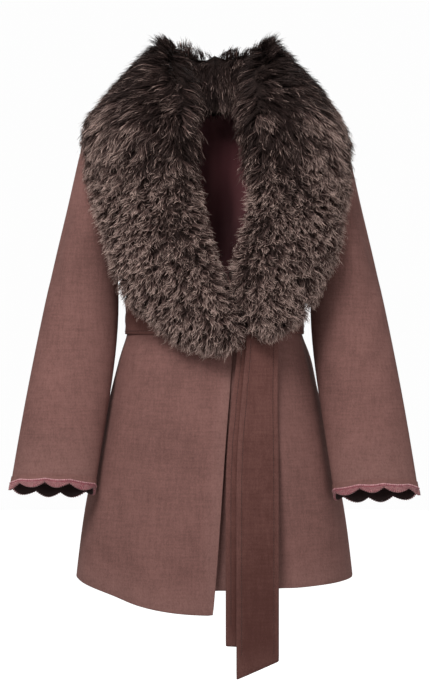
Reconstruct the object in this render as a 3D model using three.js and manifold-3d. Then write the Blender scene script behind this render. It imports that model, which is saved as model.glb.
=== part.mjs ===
// A woman's belted wrap overcoat in brushed wool with a fur shawl collar, hollow and
// filled out as it hangs on a standing wearer.
//
// Frame: millimetres, +Z up, +X to the wearer's left, -Y to the front. The origin lies
// midway between the two neck points, level with them, where the shoulders carry the coat.
// Right and left in names are the wearer's.
import * as THREE from 'three';
import { mergeVertices } from 'three/addons/utils/BufferGeometryUtils.js';
import Module from 'manifold-3d';

const wasm = await Module();
wasm.setup();

// ---------------------------------------------------------------- driving dimensions
// Cloth and seams.
const CLOTH = 2.0; // wall of the wool cloth
const LINING = 1.2; // wall of the lining
const SEAM = 0.4; // gap between two pieces that are sewn together

// Levels of the body.
const NECK_POINT = 0; // the neckline at the shoulder seam
const SHOULDER_TIP = -62; // the outer end of the shoulder seam
const UNDERARM = -243;
const HEM = -804;
const NECK_DROP = 18; // the back neckline lies this far below the neck points
const HEM_DROP_RIGHT = 45; // the upper front's corner hangs this far below the side
const HEM_DROP_LEFT = 9;
const HEM_DROP_FROM = -560; // where the fronts begin to hang lower than the sides

// The upper front lies this far outside the lower one, and hangs away at the hem.
const LAP = 3.2;
const LAP_HEM = 6;
const LAP_LEVELS = { from: -250, full: -310, hangs: -470 };
const LAP_ANGLES = { from: -44, full: -27, ends: 20, gone: 32 };

// Armholes and sleeves.
const ARMHOLE_DEEP = 60; // half the armhole's depth, front to back
const ARMHOLE_STEPS = 16; // down the front of an armhole, and again up its back
const LEFT_ARM_LOW = 8; // how much lower the left cuff hangs than the right one
const LEFT_ARM_FROM = -480;
const SCALLOPS = 8; // round each cuff
const SCALLOP_DEEP = 8;
const EDGING_TALL = 10;
const EDGING_PROUD = 0.4;

// The half lining of the back.
const LINING_TOP = -20;
const LINING_SHARE = 0.7; // of the back's width

// Belt, its knot and its hanging ends.
const BELT_TOP = -364;
const BELT_MIDDLE = -392;
const BELT_BOTTOM = -420;
const BELT_THICK = 4;
const BELT_FULL = 1.5; // how much thicker the gathered band is along its middle
const BELT_GAP = 0.7; // between the band and the cloth under it
const BELT_COLUMNS = 48;
const KNOT = { x: 64, z: -399, wide: 36, tall: 31, deep: 14, out: 12 };
const TAIL_WIDE = 64;
const TAIL_THICK = 3;
const TAIL_TOP = -411;
const TAIL_SPREAD = -640; // where an end has opened out to its full width
const TAIL_FREE = { from: -430, lies: -560 }; // from the belt's face back to the skirt
const TAIL_OUT = LAP + BELT_THICK + 2; // how far an end starts out of its place

// The fur.
const FUR_GAP = 0.6; // between the fur and the cloth under it
const FUR_GAP_SLEEVE = 0.8;
const LAPEL_GAP = 0.8; // between the two halves of the collar
const FUR_POINTS = 17; // round one section of the collar
const FUR_SEAT_FOOT = -500; // the seat under the fur is shaped down to this level
const NECK_FUR = -66; // how low the fur hangs inside the back of the neck
const NECK_MOUTH = { angle: 42, foot: -105, front: -150 }; // where the neck opens in front
const NECK_EASE = 1.4; // between the lining and the neck's hollow

// Horizontal sections of the body of the coat: half its width, its depth to the front
// and to the back of the origin, and how square the section is (2 is an ellipse).
const BODY = [
  { z: 0, half: 76, front: 60, back: 56, square: 2.0 },
  { z: -20, half: 114, front: 78, back: 72, square: 2.0 },
  { z: -42, half: 158, front: 90, back: 84, square: 2.05 },
  { z: -62, half: 190, front: 98, back: 92, square: 2.1 },
  { z: -100, half: 185, front: 110, back: 104, square: 2.2 },
  { z: -150, half: 169, front: 120, back: 113, square: 2.3 },
  { z: -200, half: 158, front: 126, back: 116, square: 2.3 },
  { z: -243, half: 153, front: 127, back: 115, square: 2.3 },
  { z: -300, half: 149, front: 121, back: 109, square: 2.3 },
  { z: -335, half: 144, front: 112, back: 101, square: 2.3 },
  { z: -364, half: 139, front: 106, back: 96, square: 2.3 },
  { z: -392, half: 136, front: 103, back: 94, square: 2.3 },
  { z: -420, half: 139, front: 105, back: 97, square: 2.3 },
  { z: -445, half: 149, front: 110, back: 104, square: 2.3 },
  { z: -500, half: 163, front: 117, back: 114, square: 2.3 },
  { z: -560, half: 178, front: 124, back: 122, square: 2.3 },
  { z: -685, half: 206, front: 133, back: 134, square: 2.3 },
  { z: -765, half: 217, front: 138, back: 138, square: 2.3 },
  { z: -804, half: 221, front: 140, back: 140, square: 2.3 },
  { z: -1000, half: 221, front: 140, back: 140, square: 2.3 },
];

// Flutes of the skirt: the angle from the centre front (positive to the wearer's left),
// the level where each begins, its depth at the hem (negative stands out) and half-width.
const FLUTES = [
  { angle: 25, from: -480, deep: 14, wide: 4.2 },
  { angle: 52, from: -520, deep: -4, wide: 11 },
  { angle: -38, from: -520, deep: 4, wide: 10 },
  { angle: -62, from: -500, deep: -4, wide: 11 },
  { angle: 118, from: -470, deep: 7, wide: 9 },
  { angle: 150, from: -450, deep: -7, wide: 10 },
  { angle: 178, from: -470, deep: 6, wide: 10 },
  { angle: -152, from: -460, deep: -6, wide: 10 },
  { angle: -120, from: -480, deep: 7, wide: 9 },
];

// The free edge of each front, from the neck point down to the hem.
const RIGHT_EDGE = [
  { z: 0, x: -70 },
  { z: -62, x: -62 },
  { z: -200, x: -52 },
  { z: -280, x: -33 },
  { z: -335, x: -7 },
  { z: -392, x: 20 },
  { z: -445, x: 28 },
  { z: -560, x: 19 },
  { z: -685, x: 9 },
  { z: -804, x: -2 },
];
const LEFT_EDGE = [
  { z: 0, x: 70 },
  { z: -62, x: 65 },
  { z: -200, x: 62 },
  { z: -280, x: 45 },
  { z: -335, x: 20 },
  { z: -392, x: -12 },
  { z: -445, x: -30 },
  { z: -804, x: -46 },
];

// Sections of a sleeve below its armhole, drawn in the front view: the outer and the
// inner end of each, how far forward its middle lies, half its depth, and its swing, by
// which its back hangs lower than its front. Given for the right sleeve.
const SLEEVE = [
  { outX: -197, outZ: -70, inX: -155.0, inZ: -246, forward: 0, deep: 63, swing: 0 },
  { outX: -209, outZ: -104, inX: -156.5, inZ: -251, forward: 0, deep: 65, swing: 0 },
  { outX: -222, outZ: -160, inX: -157.0, inZ: -259, forward: 1, deep: 66, swing: 1 },
  { outX: -236, outZ: -225, inX: -156.5, inZ: -275, forward: 4, deep: 64, swing: 2 },
  { outX: -252, outZ: -290, inX: -154.5, inZ: -310, forward: 8, deep: 58, swing: 4 },
  { outX: -270, outZ: -370, inX: -150.5, inZ: -385, forward: 16, deep: 51, swing: 7 },
  { outX: -287, outZ: -460, inX: -157.5, inZ: -473, forward: 35, deep: 44, swing: 11 },
  { outX: -303, outZ: -554, inX: -171.5, inZ: -565, forward: 59, deep: 39, swing: 15 },
  { outX: -316.5, outZ: -646, inX: -184.0, inZ: -650, forward: 81, deep: 36, swing: 17 },
];

// Stations of the collar from the centre back round the neck and down the lapel. In each
// the fur runs from its inner edge over the roll and the fall to its outer edge.
const RIGHT_COLLAR = [
  { inner: [0, 32, -50], roll: [0, 58, 42], fall: [0, 140, -50], outer: [0, 146, -178] },
  { inner: [-30, 26, -46], roll: [-52, 48, 50], fall: [-112, 126, -42], outer: [-125, 136, -175] },
  { inner: [-34, 8, -40], roll: [-70, 20, 52], fall: [-154, 82, -34], outer: [-204, 90, -148] },
  { inner: [-32, -14, -36], roll: [-76, -12, 50], fall: [-156, 2, -17], outer: [-213, -5, -100] },
  { inner: [-20, -48, -50], roll: [-68, -62, 33], fall: [-155, -80, -38], outer: [-212, -52, -136] },
  { inner: [-13, -100, -108], roll: [-52, -142, -78], fall: [-146, -140, -108], outer: [-206, -66, -180] },
  { inner: [-21, -122, -165], roll: [-52, -165, -155], fall: [-138, -156, -188], outer: [-188, -80, -240] },
  { inner: [-10, -127, -235], roll: [-40, -172, -228], fall: [-115, -164, -260], outer: [-167, -92, -308] },
  { inner: [8, -124, -300], roll: [-20, -172, -302], fall: [-85, -166, -322], outer: [-146, -98, -366] },
  { inner: [32, -122, -360], roll: [10, -167, -366], fall: [-42, -163, -386], outer: [-104, -116, -404] },
  { inner: [54, -124, -408], roll: [34, -158, -418], fall: [0, -158, -434], outer: [-48, -126, -446] },
  { inner: [46, -122, -440], roll: [32, -144, -446], fall: [14, -146, -453], outer: [0, -128, -458] },
];
const LEFT_COLLAR = [
  { inner: [0, 32, -50], roll: [0, 58, 42], fall: [0, 140, -50], outer: [0, 146, -178] },
  { inner: [30, 26, -46], roll: [52, 48, 50], fall: [112, 126, -42], outer: [125, 136, -175] },
  { inner: [36, 8, -40], roll: [74, 20, 52], fall: [154, 82, -34], outer: [204, 90, -148] },
  { inner: [40, -14, -36], roll: [82, -12, 50], fall: [157, 2, -15], outer: [215, -5, -104] },
  { inner: [32, -48, -50], roll: [76, -62, 33], fall: [160, -80, -38], outer: [218, -52, -146] },
  { inner: [28, -100, -108], roll: [66, -142, -80], fall: [156, -138, -114], outer: [216, -66, -195] },
  { inner: [42, -122, -165], roll: [74, -164, -160], fall: [152, -154, -194], outer: [207, -78, -245] },
  { inner: [46, -127, -220], roll: [76, -168, -226], fall: [144, -158, -258], outer: [194, -90, -303] },
  { inner: [28, -124, -285], roll: [58, -166, -296], fall: [124, -156, -318], outer: [172, -96, -348] },
  { inner: [16, -120, -335], roll: [48, -161, -348], fall: [102, -154, -368], outer: [150, -104, -388] },
  { inner: [22, -118, -388], roll: [52, -153, -403], fall: [90, -152, -417], outer: [130, -114, -410] },
  { inner: [54, -124, -428], roll: [72, -142, -433], fall: [90, -141, -433], outer: [110, -124, -425] },
];

// The two hanging ends of the belt: the middle of each at the knot and at its foot, its
// width at the knot, the level of its lower corners, and how far out of the skirt it lies.
const TAILS = {
  belt_tail_front: { topX: 69, footX: 65, topWide: 46, rightFoot: -947, leftFoot: -920, out: 4.5 },
  belt_tail_back: { topX: 57, footX: 49, topWide: 46, rightFoot: -896, leftFoot: -900, out: 0.9 },
};

// ---------------------------------------------------------------- small helpers
const RAD = Math.PI / 180;
const vector = (x, y, z) => new THREE.Vector3(x, y, z);
const clamp = (v) => Math.min(1, Math.max(0, v));
const smooth = (v) => clamp(v) ** 2 * (3 - 2 * clamp(v));
const between = (v, low, high) => smooth((v - low) / (high - low));
const power = (v, e) => Math.sign(v) * Math.abs(v) ** e;
const steps = (n) => Array.from({ length: n + 1 }, (_, i) => i / n);

// The value of a column where the column `by` is `at`, on a smooth curve through the rows.
function read(table, by, column, at) {
  const last = table.length - 1;
  const way = Math.sign(table[last][by] - table[0][by]);
  let i = 0;
  while (i < last - 1 && way * (at - table[i + 1][by]) > 0) i++;
  const slope = (j) => {
    const a = table[Math.max(0, j - 1)];
    const b = table[Math.min(last, j + 1)];
    return (b[column] - a[column]) / (b[by] - a[by]);
  };
  const span = table[i + 1][by] - table[i][by];
  const t = clamp((at - table[i][by]) / span);
  const [a, b] = [table[i][column], table[i + 1][column]];
  const bend = (b - a) / span;
  return a + (b - a) * t
    + t * (1 - t) * span * ((1 - t) * (slope(i) - bend) - t * (slope(i + 1) - bend));
}

// ---------------------------------------------------------------- the body's surface
// How far a level has sunk from its nominal height at an angle, at the neck and the hem.
// The powers say how sharply each dips in the middle of the back or of the front.
function sunk(angle, level, hemDrop) {
  const [neckDip, hemDip] = [1.5, 2.6];
  const neck = NECK_DROP * clamp(-Math.cos(angle)) ** neckDip;
  const hem = hemDrop * clamp(Math.cos(angle)) ** hemDip;
  return neck * between(level, SHOULDER_TIP, NECK_POINT) + hem * between(level, HEM_DROP_FROM, HEM);
}

function bodyPoint(angle, level, hemDrop = 0) {
  const p = 2 / read(BODY, 'z', 'square', level);
  const half = read(BODY, 'z', 'half', level);
  const depth = read(BODY, 'z', Math.cos(angle) > 0 ? 'front' : 'back', level);
  return vector(
    half * power(Math.sin(angle), p),
    -depth * power(Math.cos(angle), p),
    level - sunk(angle, level, hemDrop),
  );
}

// The point at an angle and level, moved out of the surface by `out`.
function onBody(angle, level, out = 0, hemDrop = 0) {
  const [turn, rise] = [0.01, 1];
  const across = bodyPoint(angle + turn, level, hemDrop).sub(bodyPoint(angle - turn, level, hemDrop));
  const up = bodyPoint(angle, level + rise, hemDrop).sub(bodyPoint(angle, level - rise, hemDrop));
  return bodyPoint(angle, level, hemDrop).addScaledVector(across.cross(up).normalize(), out);
}

// The angle at which a level's section has this x in front, or this distance from y = 0.
function angleOfX(x, level) {
  const share = clamp(Math.abs(x) / read(BODY, 'z', 'half', level));
  return Math.sign(x) * Math.asin(share ** (read(BODY, 'z', 'square', level) / 2));
}
function angleOfY(y, level, column) {
  const share = clamp(y / read(BODY, 'z', column, level));
  return Math.acos(share ** (read(BODY, 'z', 'square', level) / 2));
}

// How far the skirt's flutes move the cloth out of the plain surface.
function drape(angle, level) {
  return FLUTES.reduce((sum, f) => {
    const away = ((angle / RAD - f.angle + 540) % 360) - 180;
    return sum - f.deep * Math.exp(-((away / f.wide) ** 2)) * between(level, f.from, HEM);
  }, 0);
}

// How far the upper front lies out where it laps over the lower one. Past the upper
// front's edge this is what the belt bridges, and it ends a little further on.
function lap(angle, level) {
  const turn = angle / RAD;
  const begun = between(turn, LAP_ANGLES.from, LAP_ANGLES.full);
  const ended = between(turn, LAP_ANGLES.ends, LAP_ANGLES.gone);
  const lift = LAP * between(level, LAP_LEVELS.from, LAP_LEVELS.full);
  return begun * (1 - ended) * (lift + LAP_HEM * between(level, LAP_LEVELS.hangs, HEM));
}

// ---------------------------------------------------------------- making solids
function meshOf(points, triangles) {
  const geometry = new THREE.BufferGeometry();
  const flat = points.flatMap((p) => [p.x, p.y, p.z]);
  geometry.setAttribute('position', new THREE.Float32BufferAttribute(flat, 3));
  geometry.setIndex(triangles);
  const merged = mergeVertices(geometry, 1e-4);
  const faces = Array.from(merged.index.array);
  const at = (i) => new THREE.Vector3().fromBufferAttribute(merged.attributes.position, i);
  let volume = 0;
  for (let i = 0; i < faces.length; i += 3) {
    const [a, b, c] = [at(faces[i]), at(faces[i + 1]), at(faces[i + 2])];
    volume += a.dot(b.cross(c));
  }
  merged.setIndex(volume < 0 ? faces.reverse() : faces);
  return merged;
}

// A closed wall from rows of [outer, inner] points; a ring's rows join end to end.
function wall(rows, ring = false) {
  const [n, m] = [rows.length, rows[0].length];
  const points = rows.flat(2);
  const id = (i, j, side) => 2 * (i * m + (j % m)) + side;
  const triangles = [];
  const quad = (a, b, c, d) => triangles.push(a, b, c, a, c, d);
  const columns = ring ? m : m - 1;
  for (let i = 0; i < n - 1; i++) {
    for (let j = 0; j < columns; j++) {
      quad(id(i, j, 0), id(i, j + 1, 0), id(i + 1, j + 1, 0), id(i + 1, j, 0));
      quad(id(i, j, 1), id(i + 1, j, 1), id(i + 1, j + 1, 1), id(i, j + 1, 1));
    }
    if (!ring) {
      quad(id(i, 0, 0), id(i + 1, 0, 0), id(i + 1, 0, 1), id(i, 0, 1));
      quad(id(i, m - 1, 0), id(i, m - 1, 1), id(i + 1, m - 1, 1), id(i + 1, m - 1, 0));
    }
  }
  for (let j = 0; j < columns; j++) {
    quad(id(0, j, 0), id(0, j, 1), id(0, j + 1, 1), id(0, j + 1, 0));
    quad(id(n - 1, j, 0), id(n - 1, j + 1, 0), id(n - 1, j + 1, 1), id(n - 1, j, 1));
  }
  return meshOf(points, triangles);
}

// A solid from closed rings of points, with a fan over each end.
function loft(rings) {
  const m = rings[0].length;
  const middle = (ring) => ring.reduce((s, p) => s.add(p), vector(0, 0, 0)).divideScalar(m);
  const points = [...rings.flat(), middle(rings[0]), middle(rings.at(-1))];
  const triangles = [];
  for (let i = 0; i < rings.length - 1; i++) {
    for (let j = 0; j < m; j++) {
      const [a, b] = [i * m + j, i * m + ((j + 1) % m)];
      triangles.push(a, b, b + m, a, b + m, a + m);
    }
  }
  const end = (rings.length - 1) * m;
  for (let j = 0; j < m; j++) {
    const k = (j + 1) % m;
    triangles.push(points.length - 2, k, j, points.length - 1, end + j, end + k);
  }
  return meshOf(points, triangles);
}

function solid(geometry) {
  return new wasm.Manifold(new wasm.Mesh({
    numProp: 3,
    vertProperties: geometry.attributes.position.array,
    triVerts: new Uint32Array(geometry.index.array),
  }));
}

// The largest body of a solid as a geometry; a cut can leave crumbs beside it.
function largest(made) {
  const mesh = made.getMesh();
  const faces = mesh.triVerts;
  const root = Array.from({ length: mesh.numVert }, (_, i) => i);
  const find = (i) => {
    while (root[i] !== i) i = root[i] = root[root[i]];
    return i;
  };
  for (let i = 0; i < faces.length; i++) root[find(faces[i])] = find(faces[i - (i % 3)]);
  const count = new Map();
  faces.forEach((v) => count.set(find(v), (count.get(find(v)) ?? 0) + 1));
  const best = [...count].sort((a, b) => b[1] - a[1])[0][0];
  const kept = [];
  faces.forEach((v) => find(v) === best && kept.push(v));
  const positions = mesh.vertProperties;
  const used = [...new Set(kept)];
  const place = new Map(used.map((v, i) => [v, i]));
  const geometry = new THREE.BufferGeometry();
  const flat = used.flatMap((v) => [0, 1, 2].map((k) => positions[v * mesh.numProp + k]));
  geometry.setAttribute('position', new THREE.Float32BufferAttribute(flat, 3));
  geometry.setIndex(kept.map((v) => place.get(v)));
  return geometry;
}

// ---------------------------------------------------------------- levels of the body
const SKIRT_LEVELS = [
  HEM, -755, -700, -640, -578, -522, -478, -445,
  BELT_BOTTOM, BELT_MIDDLE, BELT_TOP, -335, -300, -268,
];
const SHOULDER_LEVELS = [-44, -26, -11, NECK_POINT];
const armholeMiddle = (SHOULDER_TIP + UNDERARM) / 2;
const armholeTall = (SHOULDER_TIP - UNDERARM) / 2;
const armholeTurn = (k) => Math.PI * (k / ARMHOLE_STEPS); // 0 at the shoulder tip
const armholeLevel = (k) => armholeMiddle + armholeTall * Math.cos(armholeTurn(k));
const ARMHOLE = Array.from({ length: ARMHOLE_STEPS + 1 }, (_, i) => ARMHOLE_STEPS - i);

// Every row of a panel: its level and where its edge at the side lies.
const ROWS = [
  ...SKIRT_LEVELS.map((level) => ({ level, open: 0 })),
  ...ARMHOLE.map((k) => ({ level: armholeLevel(k), open: ARMHOLE_DEEP * Math.sin(armholeTurn(k)) })),
  ...SHOULDER_LEVELS.map((level) => ({ level, open: 0 })),
];

// The angle of a panel's side edge, from the centre front or the centre back.
const sideAngle = (row, column) => angleOfY(Math.max(row.open, SEAM / 2), row.level, column);

// ---------------------------------------------------------------- panels
// Where the columns of a front stand, from the side seam (0) to the free edge (1).
const BACK_COLUMNS = 16;
const RIGHT_COLUMNS = steps(15);
const LEFT_COLUMNS = [
  0, 0.09, 0.18, 0.27, 0.36, 0.45, 0.53, 0.58, 0.61,
  0.637, 0.665, 0.695, 0.74, 0.82, 0.91, 1,
];

function frontPanel(side, edge, columns, hemDrop, lapped) {
  return wall(ROWS.map((row) => {
    const from = side * sideAngle(row, 'front');
    const to = angleOfX(read(edge, 'z', 'x', row.level), row.level);
    return columns.map((t) => {
      const angle = from + (to - from) * t;
      const out = drape(angle, row.level) + (lapped ? lap(angle, row.level) : 0);
      return [out, out - CLOTH].map((o) => onBody(angle, row.level, o, hemDrop));
    });
  }));
}

function backPanel(columns) {
  return wall(ROWS.map((row) => {
    const reach = sideAngle(row, 'back');
    return steps(columns).map((t) => {
      const angle = Math.PI + reach * (2 * t - 1);
      const out = drape(angle, row.level);
      return [out, out - CLOTH].map((o) => onBody(angle, row.level, o));
    });
  }));
}

// The half lining of the back, from the neckline to the waist, on the panel's own columns.
function backLining(columns) {
  const rows = ROWS.filter((row) => row.level >= BELT_TOP && row.level <= LINING_TOP);
  return wall(rows.map((row) => {
    const reach = sideAngle(row, 'back');
    return steps(columns).filter((t) => Math.abs(t - 0.5) < LINING_SHARE / 2).map((t) => {
      const angle = Math.PI + reach * (2 * t - 1);
      const out = -CLOTH - SEAM;
      return [out, out - LINING].map((o) => onBody(angle, row.level, o));
    });
  }));
}

// ---------------------------------------------------------------- sleeves
const ringOf = (n) => steps(n).slice(0, -1);

// The edge of an armhole as a ring: down its front from the shoulder tip, up its back.
function armholeRing(side) {
  return ringOf(2 * ARMHOLE_STEPS).map((t) => {
    const k = Math.round(t * 2 * ARMHOLE_STEPS);
    const front = k <= ARMHOLE_STEPS;
    const step = front ? k : 2 * ARMHOLE_STEPS - k;
    const row = { level: armholeLevel(step), open: ARMHOLE_DEEP * Math.sin(armholeTurn(step)) };
    if (row.open < SEAM) return onBody(side * (Math.PI / 2), row.level);
    const angle = sideAngle(row, front ? 'front' : 'back');
    return onBody(side * (front ? angle : Math.PI - angle), row.level);
  });
}

// One section of the sleeve as a ring of [outer, inner] points. The turn is eased so that
// the points stand about evenly round a flat section. The left arm hangs a little lower.
function sleeveRing(side, s) {
  const lower = side > 0 ? LEFT_ARM_LOW * between(s.outZ, LEFT_ARM_FROM, SLEEVE.at(-1).outZ) : 0;
  const middle = vector((s.outX + s.inX) / 2, -s.forward, (s.outZ + s.inZ) / 2);
  const wide = vector(s.outX, -s.forward, s.outZ).sub(middle);
  const half = wide.length();
  const out = wide.clone().normalize();
  const fore = vector(0, -Math.cos(s.swing * RAD), Math.sin(s.swing * RAD));
  return ringOf(2 * ARMHOLE_STEPS).map((t) => {
    const even = t * 2 * Math.PI;
    const turn = even + ((half - s.deep) / (half + s.deep) / 2) * Math.sin(2 * even);
    const [c, f] = [Math.cos(turn), Math.sin(turn)];
    const normal = out.clone().multiplyScalar(c / half).addScaledVector(fore, f / s.deep).normalize();
    const point = middle.clone().addScaledVector(out, half * c).addScaledVector(fore, s.deep * f);
    const within = point.clone().addScaledVector(normal, -CLOTH);
    return [point, within].map((p) => vector(-side * p.x, p.y, p.z - lower));
  });
}

// How far the scalloped edge reaches below the section at each point of the ring.
const perScallop = (2 * ARMHOLE_STEPS) / SCALLOPS;
const scallop = (j) => SCALLOP_DEEP * Math.sin((Math.PI * ((j + 1) % perScallop)) / perScallop);

// The way the sleeve runs at the cuff.
function cuffWay(side) {
  const [a, b] = SLEEVE.slice(-2);
  const across = (b.outX + b.inX - a.outX - a.inX) / 2;
  const down = (b.outZ + b.inZ - a.outZ - a.inZ) / 2;
  return vector(-side * across, a.forward - b.forward, down).normalize();
}

const drop = (ring, way, by) => ring.map((pair, j) => pair.map((p) => p.clone().addScaledVector(way, by(j))));

// The rings of a sleeve from its armhole to its scalloped cuff.
function sleeveRings(side) {
  const rings = SLEEVE.map((s) => sleeveRing(side, s));
  const start = armholeRing(side).map((p, j) => {
    const first = p.clone().add(vector(side * SEAM, 0, 0));
    return [first, first.clone().add(rings[0][j][1]).sub(rings[0][j][0])];
  });
  const last = drop(rings.pop(), cuffWay(side), scallop);
  return [start, ...rings, last];
}

// The outside of a sleeve from the armhole to below the elbow, filled in and moved out.
function sleeveCore(side, out) {
  const rings = sleeveRings(side).slice(0, -2).map((ring) => ring.map((pair) => pair[0]));
  const [m, last] = [rings[0].length, rings.length - 1];
  return solid(loft(rings.map((ring, i) => ring.map((p, j) => {
    const along = rings[Math.min(i + 1, last)][j].clone().sub(rings[Math.max(i - 1, 0)][j]);
    const around = ring[(j + 1) % m].clone().sub(ring[(j + m - 1) % m]);
    return p.clone().addScaledVector(around.cross(along).normalize(), side * out);
  }))));
}

const sleeve = (side) => wall(sleeveRings(side), true);

// The edging worked on to the scallops, a little thicker than the cloth.
function cuffEdging(side) {
  const ring = sleeveRing(side, SLEEVE.at(-1)).map(([outer, inner]) => {
    const proud = outer.clone().sub(inner).normalize().multiplyScalar(EDGING_PROUD);
    return [outer.clone().add(proud), inner.clone().sub(proud)];
  });
  const row = (down) => drop(ring, cuffWay(side), (j) => down + scallop(j));
  return wall([row(SEAM), row(EDGING_TALL)], true);
}

// ---------------------------------------------------------------- belt
const BELT_LEVELS = [-445, BELT_BOTTOM, BELT_MIDDLE, BELT_TOP, -335];
const turnOf = (t) => (2 * t - 1) * Math.PI;
const underBelt = (angle, level) => lap(angle, level) + BELT_GAP;

function overBelt(angle, level) {
  const belted = level <= BELT_TOP && level >= BELT_BOTTOM;
  return underBelt(angle, level) + (belted ? BELT_THICK : 0) + (level === BELT_MIDDLE ? BELT_FULL : 0);
}

function beltBand() {
  return wall([BELT_BOTTOM, BELT_MIDDLE, BELT_TOP].map((level) => ringOf(BELT_COLUMNS).map((t) => {
    const sides = [overBelt(turnOf(t), level), underBelt(turnOf(t), level)];
    return sides.map((out) => onBody(turnOf(t), level, out));
  })), true);
}

// The belted body filled in between some levels, its skin moved out by `out`.
function core(levels, out) {
  return solid(loft(levels.map((level) => ringOf(BELT_COLUMNS).map((t) => {
    const angle = turnOf(t);
    return onBody(angle, level, overBelt(angle, level) + out);
  }))));
}

// The knot before its seat is cut: a smooth flattened lump.
function knotLump(grow) {
  const ball = new THREE.SphereGeometry(1, 18, 12);
  ball.deleteAttribute('normal');
  ball.deleteAttribute('uv');
  const lump = mergeVertices(ball, 1e-4);
  lump.scale(KNOT.wide + grow, KNOT.deep + grow, KNOT.tall + grow);
  const middle = onBody(angleOfX(KNOT.x, KNOT.z), KNOT.z, KNOT.out);
  lump.translate(middle.x, middle.y, middle.z);
  return solid(lump);
}

const beltKnot = () => knotLump(0).subtract(core(BELT_LEVELS, SEAM));

// A hanging end, made from the points of the skirt that it lies on, moved out. Below the
// hem it hangs straight down. The knot that it comes out of cuts its top.
function tailStrip({ topX, footX, topWide, rightFoot, leftFoot, out }, grow) {
  const skirtLevels = SKIRT_LEVELS.filter((level) => level < BELT_BOTTOM).reverse();
  const rows = [TAIL_TOP + 2 * grow, BELT_BOTTOM - 4, ...skirtLevels].map((level) => () => level);
  const foot = (s) => rightFoot + (leftFoot - rightFoot) * s;
  for (const u of steps(3).slice(1)) rows.push((s) => HEM + (foot(s) - HEM) * u);
  return solid(wall(rows.map((row) => steps(6).map((s) => {
    const level = row(s);
    const spread = between(level, BELT_BOTTOM, TAIL_SPREAD);
    const wide = topWide + (TAIL_WIDE - topWide) * spread + 2 * grow;
    const x = topX + (footX - topX) * spread + wide * (s - 0.5);
    const lie = out + TAIL_OUT * (1 - between(level, TAIL_FREE.from, TAIL_FREE.lies));
    const skirt = Math.max(level, HEM);
    return [lie + TAIL_THICK + grow, lie - grow].map((o) => {
      const point = onBody(angleOfX(x, skirt), skirt, o);
      return vector(point.x, point.y, point.z + level - skirt);
    });
  }))));
}

const beltTail = (tail) => tailStrip(tail, 0).subtract(knotLump(SEAM));

// ---------------------------------------------------------------- collar
// A closed curve through the points of one station: over the fur and back beneath it,
// through the body, which the seat cuts away.
function collarRing(s, grow) {
  const [inner, roll, fall, outer] = [s.inner, s.roll, s.fall, s.outer].map((p) => vector(...p));
  const [shareX, shareY, rise] = [0.7, 0.3, 8]; // where the curve turns back below the outer edge
  const beneath = vector(outer.x * shareX, outer.y * shareY, outer.z + rise);
  const within = inner.clone().lerp(beneath, 1 / 3);
  const control = [inner, roll, fall, outer, beneath, within];
  const curve = new THREE.CatmullRomCurve3(control, true, 'centripetal');
  const middle = control.reduce((sum, p) => sum.add(p), vector(0, 0, 0)).divideScalar(control.length);
  const ring = curve.getSpacedPoints(FUR_POINTS).slice(0, -1);
  return ring.map((p) => p.clone().addScaledVector(p.clone().sub(middle).normalize(), grow));
}

function collarRaw(stations, side, grow = 0) {
  const rings = stations.map((s) => collarRing(s, grow));
  const rails = rings[0].map((_, j) => new THREE.CatmullRomCurve3(rings.map((r) => r[j])));
  const cut = steps(2 * (stations.length - 1)).map((t) => rails.map((rail) => rail.getPoint(t)));
  const start = cut[0].map((p) => vector(side * (SEAM / 2), p.y, p.z));
  return solid(loft([start, ...cut.slice(1)]));
}

// The hollow of the neck, which stays open: straight down from the neckline, and out
// through the front between the edges.
function neckWell() {
  const inMouth = (angle) => Math.abs(angle) < NECK_MOUTH.angle * RAD;
  const ring = (level, mouthLevel) => ringOf(40).map((t) => {
    const angle = turnOf(t);
    const rim = onBody(angle, SEAT_TOP, -CLOTH - LINING - NECK_EASE);
    if (inMouth(angle)) return vector(rim.x, NECK_MOUTH.front, mouthLevel);
    return vector(rim.x, rim.y, level);
  });
  const [middle, above] = [-30, 60];
  return solid(loft([ring(NECK_FUR, NECK_MOUTH.foot), ring(middle, middle), ring(above, above)]));
}

// The levels of the seat under the fur: all those of the shoulder and the upper armhole,
// and every second one of the lower armhole.
const SEAT_TOP = NECK_POINT + 3;
const SEAT_LEVELS = ROWS
  .filter(({ level }, i) => level < UNDERARM || level > armholeMiddle || i % 2 === 0)
  .map((row) => row.level)
  .filter((level) => level >= FUR_SEAT_FOOT);

// All that the collar lies on, a little larger than it is.
function beneathCollar() {
  let held = core([...SEAT_LEVELS, SEAT_TOP], FUR_GAP).subtract(neckWell());
  for (const side of [-1, 1]) held = held.add(sleeveCore(side, FUR_GAP_SLEEVE));
  for (const tail of Object.values(TAILS)) held = held.add(tailStrip(tail, SEAM));
  return held.add(knotLump(SEAM));
}

const held = beneathCollar();
const collarRight = largest(collarRaw(RIGHT_COLLAR, -1).subtract(held));
const rightCollarGrown = collarRaw(RIGHT_COLLAR, -1, LAPEL_GAP);
const collarLeft = largest(collarRaw(LEFT_COLLAR, 1).subtract(held).subtract(rightCollarGrown));

// ---------------------------------------------------------------- the coat
const wool = { color: 0x805e57, roughness: 0.95, metalness: 0 };
const belt = { color: 0x5f403c, roughness: 0.9, metalness: 0 };
const fur = { color: 0x2f2523, roughness: 0.9, metalness: 0 };
const trim = { color: 0xa57378, roughness: 0.8, metalness: 0 };
const silk = { color: 0x3a1c20, roughness: 0.45, metalness: 0 };

const coat = new THREE.Group();

function place(name, geometry, look) {
  const mesh = new THREE.Mesh(geometry, new THREE.MeshStandardMaterial(look));
  mesh.name = name;
  coat.add(mesh);
}

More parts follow.
